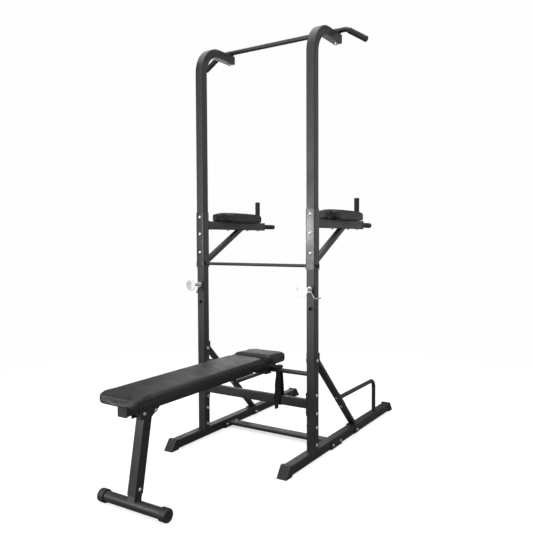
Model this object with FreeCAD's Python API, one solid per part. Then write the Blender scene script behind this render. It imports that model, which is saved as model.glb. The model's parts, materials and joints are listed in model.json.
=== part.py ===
import FreeCAD, Part

import math
import os

# Power tower with a hooked-on sit-up bench, in millimetres.
# X runs along the pull-up bar, Y runs from the bench (negative) to the dip
# handles (positive), Z is up. The sizes below count Y from the line through
# the two posts. The finished nodes are moved so that the origin lies on the
# floor in the middle of the whole footprint.

# ---------------------------------------------------------------- driving sizes
POST = 50.0                 # square tube of the posts
WALL = 2.0
CORNER = 4.0                # outer corner radius of the square tubes
POST_X = 375.0              # centre of each post
BASE_BOTTOM = 4.0           # the end shoes lift the base tubes by this much
BASE_TOP = BASE_BOTTOM + POST
BASE_FRONT = -290.0
BASE_REAR = 1092.0
SPLIT_Z = 1200.0            # the upper post meets the lower post inside the sleeve
BEND_START_Z = 2190.0
BEND_RADIUS = 150.0         # to the centre line of the gooseneck
NECK_END_Y = 308.0

SLEEVE_BOTTOM = 1036.0
SLEEVE_TOP = 1363.0
SLEEVE_WALL = 3.0
SLEEVE_BAND = 34.0          # height of the thicker band around the sleeve's foot
SLEEVE_BAND_WALL = 1.5      # how far that band stands out
SLEEVE_BOLTS_Z = (1334.0, 1233.0, 1124.0)

ARM_X = 368.0
ARM_WIDTH = 40.0
ARM_BOTTOM = 1262.0
ARM_HEIGHT = 50.0
ARM_END_Y = 650.0
ARM_TOP = ARM_BOTTOM + ARM_HEIGHT
ARM_BRACE_WIDTH = 31.0
ARM_BRACE_THICK = 28.0
ARM_BRACE_FOOT = (28.0, 1073.0)
ARM_BRACE_HEAD = (379.0, 1264.0)

UPRIGHT_Y = 596.0           # knee-raise handle, standing on the arm
UPRIGHT_TOP = 1453.0
DIP_END_Y = 800.0
HANDLE_ROD_R = 12.5
GRIP_R = 16.0
GRIP_GAP = 0.05             # between a rod and the rubber pushed over it

PAD_START_Y = 122.0
PAD_STEP_Y = 198.0
PAD_END_Y = 562.0
PAD_ELBOW_HALF = 34.0
PAD_FULL_HALF = 72.0
PAD_BOARD = 8.0
PAD_BOARD_INSET = 10.0      # the cover wraps round under the board's edge
PAD_THICK = 46.0            # cushion above its board
PAD_BOLTS_Y = (250.0, 471.0)
UPRIGHT_BOLT = 12.0         # shank of the bolt up into a knee-raise handle

PULL_BAR_Y = 287.0
PULL_BAR_R = 14.0
PULL_GRIP_R = 17.0
PULL_BAR_BEND_X = 428.0     # where the straight bar starts to turn down
PULL_BAR_BEND_R = 45.0
PULL_BAR_DROP = 33.0        # degrees below level
PULL_BAR_HANDLE = 128.0     # straight length past the bend
SADDLE = 2.0                # plate between the neck and the bar
SADDLE_HALF_X = 22.0
SADDLE_HALF_Y = 18.0
SADDLE_CUP = 5.0            # how far a saddle reaches up around the bar
BOLT_SEAT = 1.2             # depth of the flat that a bolt's head needs on the bar

CROSSBAR_Z = 1056.0
CROSSBAR_R = 9.0
SCREW_HEAD_R = 9.0
SCREW_HEAD_H = 9.0
SCREW_SOCKET_R = 4.0
SCREW_GRIP = 20.0           # thread inside the bar

REST_Z = 931.0
SPARE_HOLE_Z = 826.0
REST_ROD_R = 9.0
REST_DISC_R = 33.0
REST_DISC_Y = -118.0
REST_DISC_THICK = 4.0
REST_TAIL_Y = 38.0
GROMMET_R = 14.0
GROMMET_BARREL_R = 11.5
GROMMET_LIP = 2.5
RUN_GAP = 0.05              # radial clearance of parts that turn or slide
BAIL_RING_Y = (-35.2, -28.2)
BAIL_RING_R = 15.0
BAIL_WIRE_R = 3.6
BAIL_REACH = (29.0, -50.5)  # outward and down from the rod to the wire's side leg
BAIL_END_Y = 37.0

HOOK_BAR_Z = 466.0
HOOK_BAR_R = 12.5
SEAT_TUBE_BOTTOM = 276.0
SEAT_TUBE_HEIGHT = 50.0
SEAT_TUBE_DEPTH = 30.0
FLANGE = 5.0
FLANGE_Z = (239.0, 366.0)
FLANGE_BOLTS_Z = (252.5, 352.5)
POST_FOOT_BOLTS_Z = (80.0, 177.0)
STUB_TOP = 215.0
FLOOR_TUBE_Y = 240.0
FLOOR_TUBE_DEPTH = 60.0
FLOOR_TUBE_Z = (16.0, 36.0)
SADDLE_TOP = 46.0           # top of the U that holds a base tube
SADDLE_PLATE = 3.5
SADDLE_Y = (173.0, 314.0)
FLOOR_BOLTS_Y = (199.0, 296.0)
FLOOR_BOLT_Z = 21.0

REAR_BRACE_WIDTH = 40.0
REAR_BRACE_THICK = 22.0
REAR_BRACE_HEAD = (25.0, 549.0)
REAR_BRACE_FOOT = (500.0, 84.0)
CLIP = 4.0                  # plate of the U-shaped clips on the rear braces
HEAD_CLIP_Z = (525.0, 583.0)
HEAD_CLIP_BOLT_Z = 543.0
FOOT_CLIP_Y = (492.0, 560.0)
FOOT_CLIP_BOTTOM = 6.0
FOOT_CLIP_BOLT_Y = 534.0

HANDLE_R = 12.5             # push-up handle tube
HANDLE_Z = 263.0
HANDLE_FAR_Y = 863.0
HANDLE_BEND = 48.0
HANDLE_PLATE = 4.0
HANDLE_PLATE_HALF = (17.0, 58.0)
HANDLE_BOLTS_Y = (303.0, 369.0)

BENCH_HALF = 130.0
BENCH_FRONT = -1072.0
BENCH_REAR = 157.0
BENCH_CORNER = 46.0
BENCH_BOARD_Z = 489.0
BENCH_BOARD = 8.0
BENCH_BOARD_INSET = 16.0
BENCH_TOP = 536.0
BEAM_WIDTH = 50.0
BEAM_HEIGHT = 50.0
BEAM_FRONT = -1030.0
BEAM_LIP = 2.5              # how far the end cap stands out all round
BEAM_PLATE = 4.0            # plates on the beam that hold the leg
YOKE_HALF = 112.0           # half length of the cross tube that carries the hooks
YOKE_Y = (-56.0, -20.0)
YOKE_BOTTOM = 446.0
HOOK_PLATE = 6.0
HOOK_Y = (-78.0, 36.0)
LEG_TOP_Y = -899.0
LEG_TOP_Z = 423.0
LEG_FOOT_Y = -974.0
LEG_HEAD_Y = (-947.0, -841.0)
LEG_END_Z = 76.0
STUB_SIDE = 45.4            # square stub on the foot, inside the leg
STUB_END_Z = 150.0
LEG_BOLTS_Y = (-929.0, -857.0)
LEG_BOLT_Z = 431.0
FOOT_R = 25.0
FOOT_CAP_R = 31.0
FOOT_HALF = 192.0
FOOT_CAP_END = 206.0
FOOT_CAP_BACK = 168.0
FOOT_BOLT_Z = 99.0

STRAP = 2.0
STRAP_WIDTH = 48.0
STRAP_Y = -52.0             # centre of the band across the bench pad
STRAP_SHIFT = 62.0          # the band runs back by this much down the pad's side
STRAP_END_Z = 482.0         # just above the hook bar
LOOP_X = (145.0, 183.0)
LOOP_TAIL_Z = 250.0
BUCKLE_X = (149.0, 181.0)
BUCKLE_HALF = 13.0
BUCKLE_H = 14.0
BUCKLE_BAR_R = 5.0

BOLT_R = 5.0
HEAD_R = 9.5
HEAD_H = 6.0
HEAD_RIM = 1.2
HEAD_FLAT = 2.5             # radius of the flat on top of a bolt's dome
NUT_R = 8.5
NUT_H = 8.0
SIDES = (("left", -1), ("right", 1))
SHOE_TOE = 44.0             # how far a base shoe's toe reaches past its tube
SHOE_HOOD = 18.0            # how far it reaches back over the tube
SHOE_WALL = 4.0
SHOE_TOP = BASE_TOP + 4.5
SHOE_GROOVES = (-18.0, -6.0, 6.0, 18.0)
ORIGIN_Y = (BENCH_FRONT + BASE_REAR + SHOE_TOE) / 2
X_AXIS = FreeCAD.Vector(1, 0, 0)
Y_AXIS = FreeCAD.Vector(0, 1, 0)
Z_AXIS = FreeCAD.Vector(0, 0, 1)
nodes = {}


# ---------------------------------------------------------------- shape helpers
def vec(x, y, z):
    return FreeCAD.Vector(x, y, z)


def box(x, y, z):
    """A block from three (low, high) pairs."""
    return Part.makeBox(x[1] - x[0], y[1] - y[0], z[1] - z[0], vec(x[0], y[0], z[0]))


def rod(start, end, radius):
    """A round bar between two points."""
    path = end.sub(start)
    return Part.makeCylinder(radius, path.Length, start, path)


def rounded_outline(half_a, half_b, radius):
    """A closed rectangle with rounded corners, centred, in the XY plane."""
    a = half_a - radius
    b = half_b - radius
    edges = []
    for index, (x, y) in enumerate(((a, b), (-a, b), (-a, -b), (a, -b))):
        start = math.radians(90 * index)
        middle = start + math.radians(45)
        end = start + math.radians(90)
        points = [vec(x + radius * math.cos(t), y + radius * math.sin(t), 0) for t in (start, middle, end)]
        edges.append(Part.Arc(*points).toShape())
    closed = []
    for index, edge in enumerate(edges):
        following = edges[(index + 1) % 4]
        closed.append(edge)
        closed.append(Part.makeLine(edge.Vertexes[-1].Point, following.Vertexes[0].Point))
    return Part.Wire(closed)


def bar_along(axis, half_a, half_b, length, radius):
    """A solid square bar from the origin along an axis. half_a lies across X
    (across Z for a bar along X) and half_b lies across the other side."""
    solid = Part.Face(rounded_outline(half_a, half_b, radius)).extrude(vec(0, 0, length))
    if axis == "x":
        solid.rotate(vec(0, 0, 0), Y_AXIS, 90)
    if axis == "y":
        solid.rotate(vec(0, 0, 0), X_AXIS, -90)
    return solid


def square_tube(axis, start, length, size_a, size_b, wall=WALL, corner=CORNER):
    """A hollow square tube that starts at a point and runs along +axis."""
    outer = bar_along(axis, size_a / 2, size_b / 2, length, corner)
    inner = bar_along(axis, size_a / 2 - wall, size_b / 2 - wall, length, max(corner - wall, 0.5))
    tube = outer.cut(inner)
    tube.translate(start)
    return tube


def leaning_tube(x, foot, head, width, thick, overrun):
    """A square tube in a plane of constant X, between two (y, z) points, that
    runs past both by overrun so that it can be trimmed to what it meets."""
    rise = math.atan2(head[1] - foot[1], head[0] - foot[0])
    length = math.hypot(head[0] - foot[0], head[1] - foot[1]) + 2 * overrun
    tube = square_tube("y", vec(0, -overrun, 0), length, width, thick, WALL, 3.0)
    tube.rotate(vec(0, 0, 0), X_AXIS, math.degrees(rise))
    tube.translate(vec(x, foot[0], foot[1]))
    return tube


def prism(points, axis_from, axis_to):
    """A plate from (y, z) points, extruded along X."""
    corners = [vec(axis_from, y, z) for y, z in points]
    face = Part.Face(Part.makePolygon(corners + corners[:1]))
    return face.extrude(vec(axis_to - axis_from, 0, 0))


def swept(points_and_bends, radius):
    """A round bar along straight runs joined by tangent arcs. Each inner point
    has its bend radius; the two ends have none."""
    points = [vec(*point) for point, _ in points_and_bends]
    bends = [bend for _, bend in points_and_bends]
    edges = []
    last = points[0]
    for index in range(1, len(points) - 1):
        corner = points[index]
        back = points[index - 1].sub(corner)
        ahead = points[index + 1].sub(corner)
        back.normalize()
        ahead.normalize()
        half = back.getAngle(ahead) / 2
        setback = bends[index] / math.tan(half)
        start = corner + back * setback
        end = corner + ahead * setback
        bisector = back + ahead
        bisector.normalize()
        middle = corner + bisector * (bends[index] / math.sin(half) - bends[index])
        edges.append(Part.makeLine(last, start))
        edges.append(Part.Arc(start, middle, end).toShape())
        last = end
    edges.append(Part.makeLine(last, points[-1]))
    direction = points[1].sub(points[0])
    circle = Part.Wire(Part.makeCircle(radius, points[0], direction))
    return Part.Wire(edges).makePipeShell([circle], True, False)


def dome_bolt(head_face, direction, shank):
    """A bolt with a domed head that sits on a face. The shank runs from that
    face along -direction."""
    rim = vec(HEAD_R, 0, HEAD_RIM)
    crown = vec(HEAD_FLAT, 0, HEAD_H)
    shoulder = vec(0.68 * HEAD_R, 0, HEAD_H - 0.3 * (HEAD_H - HEAD_RIM))
    outline = [vec(0, 0, -shank), vec(BOLT_R, 0, -shank), vec(BOLT_R, 0, 0), vec(HEAD_R, 0, 0), rim]
    edges = [Part.makeLine(start, end) for start, end in zip(outline, outline[1:])]
    edges.append(Part.Arc(rim, shoulder, crown).toShape())
    edges.append(Part.makeLine(crown, vec(0, 0, HEAD_H)))
    edges.append(Part.makeLine(vec(0, 0, HEAD_H), outline[0]))
    bolt = Part.Face(Part.Wire(edges)).revolve(vec(0, 0, 0), Z_AXIS, 360)
    bolt.Placement = FreeCAD.Placement(head_face, FreeCAD.Rotation(Z_AXIS, vec(*direction)))
    return bolt


def hex_nut(seat_face, direction, radius=NUT_R, height=NUT_H):
    """A nut with a plain washer under it, standing off a face."""
    unit = vec(*direction)
    turn = FreeCAD.Rotation(Z_AXIS, unit)
    corners = []
    for index in range(7):
        angle = math.radians(60 * index)
        corners.append(vec(radius * math.cos(angle), radius * math.sin(angle), 0))
    nut = Part.Face(Part.makePolygon(corners)).extrude(vec(0, 0, height))
    washer = Part.makeCylinder(radius + 1.5, 1.5)
    nut.translate(vec(0, 0, 1.5))
    nut = nut.fuse(washer).cut(Part.makeCylinder(BOLT_R, height + 2))
    nut.Placement = FreeCAD.Placement(seat_face, turn)
    return nut


def keep(name, *shapes):
    """Record the solids of one node."""
    nodes[name] = shapes[0] if len(shapes) == 1 else Part.makeCompound(list(shapes))


def drill(shape, point, axis, length, radius=BOLT_R):
    """Remove a round hole that is centred on a point and runs along an axis."""
    start = point - axis * (length / 2)
    return shape.cut(Part.makeCylinder(radius, length, start, axis))


# ---------------------------------------------------------------- base and posts
def make_base_tubes():
    stub_half = POST / 2 - WALL - 0.3
    for side, sign in SIDES:
        x = sign * POST_X
        length = BASE_REAR - BASE_FRONT
        tube = square_tube("y", vec(x, BASE_FRONT, BASE_BOTTOM + POST / 2), length, POST, POST)
        stub = square_tube("z", vec(x, 0, BASE_TOP), STUB_TOP - BASE_TOP, 2 * stub_half, 2 * stub_half)
        whole = tube.fuse(stub)
        for z in POST_FOOT_BOLTS_Z:
            whole = drill(whole, vec(x, 0, z), X_AXIS, POST)
        for y in FLOOR_BOLTS_Y:
            whole = drill(whole, vec(x, y, FLOOR_BOLT_Z), X_AXIS, POST + 2)
        whole = drill(whole, vec(x, FOOT_CLIP_BOLT_Y, FLOOR_BOLT_Z), X_AXIS, POST + 2)
        keep("base_tube_" + side, whole)


def make_shoe(x, end_y, outward):
    """A plastic shoe: a hood over the tube's end, a sole under it, and a
    sloping toe with shallow upright grooves."""
    half = POST / 2 + SHOE_WALL
    top_y = end_y + outward * 2.0
    toe_y = end_y + outward * SHOE_TOE
    back_y = end_y - outward * SHOE_HOOD
    shoe = prism([(back_y, 0.0), (toe_y, 0.0), (top_y, SHOE_TOP), (back_y, SHOE_TOP)], x - half, x + half)
    beyond = back_y - outward
    pocket = box((x - POST / 2, x + POST / 2), sorted((beyond, end_y)), (BASE_BOTTOM, BASE_TOP))
    shoe = shoe.cut(pocket)
    for offset in SHOE_GROOVES:
        ends = []
        for z in (7.0, SHOE_TOP - 7.0):
            face_y = toe_y + (top_y - toe_y) * z / SHOE_TOP
            ends.append((face_y - outward * 1.6, face_y + outward * 3.0, z))
        (low_in, low_out, low_z), (high_in, high_out, high_z) = ends
        outline = [(low_in, low_z), (low_out, low_z), (high_out, high_z), (high_in, high_z)]
        shoe = shoe.cut(prism(outline, x + offset - 1.0, x + offset + 1.0))
    return shoe


def make_shoes():
    shoes = []
    for _, sign in SIDES:
        shoes.append(make_shoe(sign * POST_X, BASE_FRONT, -1))
        shoes.append(make_shoe(sign * POST_X, BASE_REAR, 1))
    keep("base_end_shoes", *shoes)


def make_lower_posts():
    for side, sign in SIDES:
        x = sign * POST_X
        post = square_tube("z", vec(x, 0, BASE_TOP), SPLIT_Z - 0.5 - BASE_TOP, POST, POST)
        cross_holes = POST_FOOT_BOLTS_Z + FLANGE_BOLTS_Z + (HEAD_CLIP_BOLT_Z, CROSSBAR_Z)
        for z in cross_holes:
            post = drill(post, vec(x, 0, z), X_AXIS, POST + 2)
        post = drill(post, vec(x, 0, SLEEVE_BOLTS_Z[2]), Y_AXIS, POST + 2)
        for z in (REST_Z, SPARE_HOLE_Z):
            post = drill(post, vec(x, 0, z), Y_AXIS, POST + 2, GROMMET_BARREL_R)
        keep("lower_post_" + side, post)


def gooseneck(x, half, corner):
    """The solid of an upper post: up, round a quarter turn, then level."""
    height = BEND_START_Z - SPLIT_Z - 0.5
    upright = bar_along("z", half, half, height, corner)
    upright.translate(vec(x, 0, SPLIT_Z + 0.5))
    face = Part.Face(rounded_outline(half, half, corner))
    face.translate(vec(x, 0, BEND_START_Z))
    bend = face.revolve(vec(x, BEND_RADIUS, BEND_START_Z), X_AXIS, -90)
    level = bar_along("y", half, half, NECK_END_Y - BEND_RADIUS, corner)
    level.translate(vec(x, BEND_RADIUS, BEND_START_Z + BEND_RADIUS))
    return upright.fuse(bend).fuse(level).removeSplitter()


def make_upper_posts():
    caps = []
    neck_z = BEND_START_Z + BEND_RADIUS
    for side, sign in SIDES:
        x = sign * POST_X
        post = gooseneck(x, POST / 2, CORNER).cut(gooseneck(x, POST / 2 - WALL, CORNER - WALL))
        for z in SLEEVE_BOLTS_Z[:2]:
            post = drill(post, vec(x, 0, z), Y_AXIS, POST + 2)
        post = drill(post, vec(x, PULL_BAR_Y, neck_z), Z_AXIS, POST + 2)
        keep("upper_post_" + side, post)
        lip = bar_along("y", POST / 2, POST / 2, 5.0, CORNER)
        plug = bar_along("y", POST / 2 - WALL - 0.2, POST / 2 - WALL - 0.2, 9.0, 1.5)
        lip.translate(vec(x, NECK_END_Y, neck_z))
        plug.translate(vec(x, NECK_END_Y - 9.0, neck_z))
        caps.append(lip.fuse(plug))
    keep("upper_post_caps", *caps)


# ---------------------------------------------------------------- dip station
def make_sleeves():
    outer = POST + 2 * SLEEVE_WALL
    for side, sign in SIDES:
        x = sign * POST_X
        height = SLEEVE_TOP - SLEEVE_BOTTOM
        sleeve = square_tube("z", vec(x, 0, SLEEVE_BOTTOM), height, outer, outer, SLEEVE_WALL, 6.0)
        wide = outer + 2 * SLEEVE_BAND_WALL
        band = square_tube("z", vec(x, 0, SLEEVE_BOTTOM), SLEEVE_BAND, wide, wide, SLEEVE_WALL, 7.0)
        sleeve = sleeve.fuse(band)
        for z in SLEEVE_BOLTS_Z:
            sleeve = drill(sleeve, vec(x, 0, z), Y_AXIS, outer + 6)
        sleeve = drill(sleeve, vec(x, 0, CROSSBAR_Z), X_AXIS, outer + 6)
        keep("post_sleeve_" + side, sleeve)


def make_arms():
    caps = []
    middle_z = ARM_BOTTOM + ARM_HEIGHT / 2
    sleeve_face = POST / 2 + SLEEVE_WALL
    for side, sign in SIDES:
        x = sign * ARM_X
        tube = square_tube("y", vec(x, sleeve_face, middle_z), ARM_END_Y - sleeve_face, ARM_WIDTH, ARM_HEIGHT)
        upright = rod(vec(x, UPRIGHT_Y, ARM_TOP - WALL), vec(x, UPRIGHT_Y, UPRIGHT_TOP - 4.0), HANDLE_ROD_R)
        bulkhead = box((x - 17, x + 17), (ARM_END_Y - 40.0, ARM_END_Y - 34.0), (ARM_BOTTOM + 3, ARM_TOP - 3))
        dip_rod = rod(vec(x, ARM_END_Y - 37.0, middle_z), vec(x, DIP_END_Y - 5.0, middle_z), HANDLE_ROD_R)
        for y in PAD_BOLTS_Y:
            tube = drill(tube, vec(x, y, middle_z), Z_AXIS, ARM_HEIGHT + 2)
        tube = drill(tube, vec(x, UPRIGHT_Y, ARM_BOTTOM), Z_AXIS, 2 * UPRIGHT_BOLT)
        keep("dip_arm_" + side, tube.fuse([upright, bulkhead, dip_rod]))
        cap = bar_along("y", ARM_WIDTH / 2 + 1, ARM_HEIGHT / 2 + 1, 14.0, CORNER)
        cap.translate(vec(x, ARM_END_Y - 9.0, middle_z))
        seat = bar_along("y", ARM_WIDTH / 2, ARM_HEIGHT / 2, 9.0, CORNER)
        seat.translate(vec(x, ARM_END_Y - 9.0, middle_z))
        caps.append(drill(cap.cut(seat), vec(x, ARM_END_Y, middle_z), Y_AXIS, 40, HANDLE_ROD_R + 0.1))
    keep("dip_arm_caps", *caps)


def make_arm_braces():
    for side, sign in SIDES:
        x = sign * ARM_X
        tube = leaning_tube(x, ARM_BRACE_FOOT, ARM_BRACE_HEAD, ARM_BRACE_WIDTH, ARM_BRACE_THICK, 60.0)
        room = box((x - 40, x + 40), (POST / 2 + SLEEVE_WALL, ARM_END_Y), (SLEEVE_BOTTOM, ARM_BOTTOM))
        keep("arm_brace_" + side, tube.common(room).cut(nodes["post_sleeve_" + side]))


def rubber_grip(start, end):
    """A rubber tube with a closed, slightly domed end, pushed over a rod."""
    path = end.sub(start)
    unit = vec(path.x, path.y, path.z)
    unit.normalize()
    body = rod(start, end, GRIP_R)
    body = body.makeFillet(4.0, [edge for edge in body.Edges if on_end(edge, end)])
    collar = rod(start, start + unit * 6.0, GRIP_R + 2.5)
    hollow = rod(start, end - unit * 5.0, HANDLE_ROD_R + GRIP_GAP)
    return body.fuse(collar).cut(hollow)


def on_end(edge, point):
    """True for the rim whose centre is the given point."""
    return hasattr(edge.Curve, "Center") and edge.Curve.Center.distanceToPoint(point) < 0.5


def make_grips():
    middle_z = ARM_BOTTOM + ARM_HEIGHT / 2
    for side, sign in SIDES:
        x = sign * ARM_X
        upright = rubber_grip(vec(x, UPRIGHT_Y, ARM_TOP), vec(x, UPRIGHT_Y, UPRIGHT_TOP + 1.0))
        keep("knee_raise_grip_" + side, upright)
        dip = rubber_grip(vec(x, ARM_END_Y + 5.0, middle_z), vec(x, DIP_END_Y, middle_z))
        keep("dip_grip_" + side, dip)


def pad_outline(inset):
    """The elbow end is narrow; a step leads out to the full forearm width."""
    elbow = PAD_ELBOW_HALF - inset
    full = PAD_FULL_HALF - inset
    start = PAD_START_Y + inset
    step = PAD_STEP_Y + inset
    end = PAD_END_Y - inset
    return start, step, end, elbow, full


def pad_solid(x, inset, bottom, top):
    start, step, end, elbow, full = pad_outline(inset)
    narrow = bar_along("z", elbow, (step + 40.0 - start) / 2, top - bottom, 14.0)
    narrow.translate(vec(x, (start + step + 40.0) / 2, bottom))
    wide = bar_along("z", full, (end - step) / 2, top - bottom, 26.0)
    wide.translate(vec(x, (step + end) / 2, bottom))
    return narrow.fuse(wide).removeSplitter()


def make_arm_pads():
    board_top = ARM_TOP + PAD_BOARD
    for side, sign in SIDES:
        x = sign * ARM_X
        board = pad_solid(x, PAD_BOARD_INSET, ARM_TOP, board_top)
        for y in PAD_BOLTS_Y:
            board = drill(board, vec(x, y, ARM_TOP), Z_AXIS, 40)
        keep("arm_pad_board_" + side, board)
        keep("arm_pad_" + side, pad_solid(x, 0.0, board_top + 0.2, board_top + PAD_THICK))


# ---------------------------------------------------------------- pull-up bar
def make_pull_up_bar():
    """The bar with its saddles and grips. Returns its two bolts and nuts."""
    neck_top = BEND_START_Z + BEND_RADIUS + POST / 2
    z = neck_top + SADDLE + PULL_BAR_R
    turn = math.radians(PULL_BAR_DROP)
    setback = PULL_BAR_BEND_R * math.tan(turn / 2)
    corner_x = PULL_BAR_BEND_X + setback
    end_x = corner_x + (PULL_BAR_HANDLE + setback) * math.cos(turn)
    end_z = z - (PULL_BAR_HANDLE + setback) * math.sin(turn)
    route = [
        ((-end_x, PULL_BAR_Y, end_z), 0),
        ((-corner_x, PULL_BAR_Y, z), PULL_BAR_BEND_R),
        ((corner_x, PULL_BAR_Y, z), PULL_BAR_BEND_R),
        ((end_x, PULL_BAR_Y, end_z), 0),
    ]
    bar = swept(route, PULL_BAR_R).cut(swept(route, PULL_BAR_R - WALL))
    saddles = []
    bolts = []
    nuts = []
    for side, sign in SIDES:
        x = sign * POST_X
        seat = vec(x, PULL_BAR_Y, z + PULL_BAR_R - BOLT_SEAT)
        bar = drill(bar, vec(x, PULL_BAR_Y, z), Z_AXIS, 40)
        bar = bar.cut(rod(seat, seat + Z_AXIS * HEAD_H, HEAD_R))
        bolts.append(dome_bolt(seat, (0, 0, 1), seat.z - neck_top + POST + NUT_H + 3))
        nuts.append(hex_nut(vec(x, PULL_BAR_Y, neck_top - POST), (0, 0, -1)))
        saddles.append(make_saddle(x, neck_top, z))
        end = vec(sign * end_x, PULL_BAR_Y, end_z)
        unit = vec(sign * math.cos(turn), 0, -math.sin(turn))
        tip = end + unit * 5.0
        grip = rod(end - unit * (PULL_BAR_HANDLE - 6.0), tip, PULL_GRIP_R)
        grip = grip.makeFillet(4.0, [edge for edge in grip.Edges if on_end(edge, tip)])
        hollow = rod(end - unit * PULL_BAR_HANDLE, end, PULL_BAR_R + GRIP_GAP)
        keep("pull_up_grip_" + side, grip.cut(hollow))
    keep("pull_up_bar", bar)
    keep("pull_up_bar_saddles", *saddles)
    return bolts, nuts


def make_saddle(x, neck_top, bar_z):
    """A cupped block between a gooseneck and the pull-up bar."""
    saddle = box((x - SADDLE_HALF_X, x + SADDLE_HALF_X),
                 (PULL_BAR_Y - SADDLE_HALF_Y, PULL_BAR_Y + SADDLE_HALF_Y),
                 (neck_top, neck_top + SADDLE + SADDLE_CUP))
    saddle = drill(saddle, vec(x, PULL_BAR_Y, bar_z), X_AXIS, 60, PULL_BAR_R)
    return drill(saddle, vec(x, PULL_BAR_Y, neck_top), Z_AXIS, 40)


# ---------------------------------------------------------------- cross members
def make_crossbar():
    face = POST_X - POST / 2 - SLEEVE_WALL - SLEEVE_BAND_WALL
    bar = rod(vec(-face, 0, CROSSBAR_Z), vec(face, 0, CROSSBAR_Z), CROSSBAR_R)
    bolts = []
    for _, sign in SIDES:
        outer = sign * (POST_X + POST / 2 + SLEEVE_WALL + SLEEVE_BAND_WALL)
        thread_end = sign * (face - SCREW_GRIP)
        screw = rod(vec(thread_end, 0, CROSSBAR_Z), vec(outer, 0, CROSSBAR_Z), BOLT_R)
        cap = outer + sign * SCREW_HEAD_H
        head = rod(vec(outer, 0, CROSSBAR_Z), vec(cap, 0, CROSSBAR_Z), SCREW_HEAD_R)
        socket = rod(vec((outer + cap) / 2, 0, CROSSBAR_Z), vec(cap + sign, 0, CROSSBAR_Z), SCREW_SOCKET_R)
        bolts.append(screw.fuse(head).cut(socket))
        bar = bar.cut(screw)
    keep("middle_crossbar", bar)
    keep("crossbar_screws", *bolts)


def make_seat_cross_member():
    inner = POST_X - POST / 2
    middle_z = SEAT_TUBE_BOTTOM + SEAT_TUBE_HEIGHT / 2
    length = 2 * (inner - FLANGE)
    whole = square_tube("x", vec(FLANGE - inner, 0, middle_z), length, SEAT_TUBE_HEIGHT, SEAT_TUBE_DEPTH)
    for _, sign in SIDES:
        faces = sorted((sign * inner, sign * (inner - FLANGE)))
        flange = box(faces, (-22, 22), FLANGE_Z)
        for z in FLANGE_BOLTS_Z:
            flange = drill(flange, vec(sign * inner, 0, z), X_AXIS, 20)
        whole = whole.fuse(flange)
    keep("seat_cross_member", whole)


def make_hook_bar():
    inner = POST_X - POST / 2
    keep("bench_hook_bar", rod(vec(-inner, 0, HOOK_BAR_Z), vec(inner, 0, HOOK_BAR_Z), HOOK_BAR_R))


def make_floor_cross_member():
    """A low flat tube whose ends are U-shaped saddles: each passes under its
    base tube and is bolted through both of its sides."""
    inner = POST_X - POST / 2
    outer = POST_X + POST / 2
    middle_z = (FLOOR_TUBE_Z[0] + FLOOR_TUBE_Z[1]) / 2
    height = FLOOR_TUBE_Z[1] - FLOOR_TUBE_Z[0]
    reach = inner - SADDLE_PLATE
    whole = square_tube("x", vec(-reach, FLOOR_TUBE_Y, middle_z), 2 * reach, height, FLOOR_TUBE_DEPTH)
    for _, sign in SIDES:
        faces = sorted((sign * reach, sign * (outer + SADDLE_PLATE)))
        saddle = box(faces, SADDLE_Y, (BASE_BOTTOM - SADDLE_PLATE, SADDLE_TOP))
        room = box(sorted((sign * inner, sign * outer)), SADDLE_Y, (BASE_BOTTOM, SADDLE_TOP))
        saddle = saddle.cut(room)
        for y in FLOOR_BOLTS_Y:
            saddle = drill(saddle, vec(sign * POST_X, y, FLOOR_BOLT_Z), X_AXIS, POST + 20)
        whole = whole.fuse(saddle)
    keep("floor_cross_member", whole)


# ---------------------------------------------------------------- rear braces
def make_rear_braces():
    half = POST / 2
    for side, sign in SIDES:
        x = sign * POST_X
        tube = leaning_tube(x, REAR_BRACE_HEAD, REAR_BRACE_FOOT, REAR_BRACE_WIDTH, REAR_BRACE_THICK, 60.0)
        room = box((x - 40, x + 40), (half + CLIP, 700), (BASE_TOP + CLIP, HEAD_CLIP_Z[1] + 30))
        head_shell = box((x - half - CLIP, x + half + CLIP), (-18, half + CLIP), HEAD_CLIP_Z)
        head_clip = head_shell.cut(box((x - half, x + half), (-19, half), HEAD_CLIP_Z))
        foot_shell = box((x - half - CLIP, x + half + CLIP), FOOT_CLIP_Y, (FOOT_CLIP_BOTTOM, BASE_TOP + CLIP))
        foot_clip = foot_shell.cut(box((x - half, x + half), FOOT_CLIP_Y, (FOOT_CLIP_BOTTOM, BASE_TOP)))
        brace = tube.common(room).fuse([head_clip, foot_clip])
        brace = drill(brace, vec(x, 0, HEAD_CLIP_BOLT_Z), X_AXIS, POST + 20)
        brace = drill(brace, vec(x, FOOT_CLIP_BOLT_Y, FLOOR_BOLT_Z), X_AXIS, POST + 20)
        for y in HANDLE_BOLTS_Y:
            brace = drill(brace, brace_point(x, y, 0), brace_normal(), 60)
        keep("rear_brace_" + side, brace)


def brace_normal():
    """The unit vector that stands off the upper face of a rear brace."""
    dy = REAR_BRACE_FOOT[0] - REAR_BRACE_HEAD[0]
    dz = REAR_BRACE_FOOT[1] - REAR_BRACE_HEAD[1]
    length = math.hypot(dy, dz)
    return vec(0, -dz / length, dy / length)


def brace_point(x, y, lift):
    """A point on a rear brace's centre line at a given Y, lifted along the
    brace's normal."""
    slope = (REAR_BRACE_FOOT[1] - REAR_BRACE_HEAD[1]) / (REAR_BRACE_FOOT[0] - REAR_BRACE_HEAD[0])
    on_line = vec(x, y, REAR_BRACE_HEAD[1] + slope * (y - REAR_BRACE_HEAD[0]))
    return on_line + brace_normal() * lift


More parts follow.
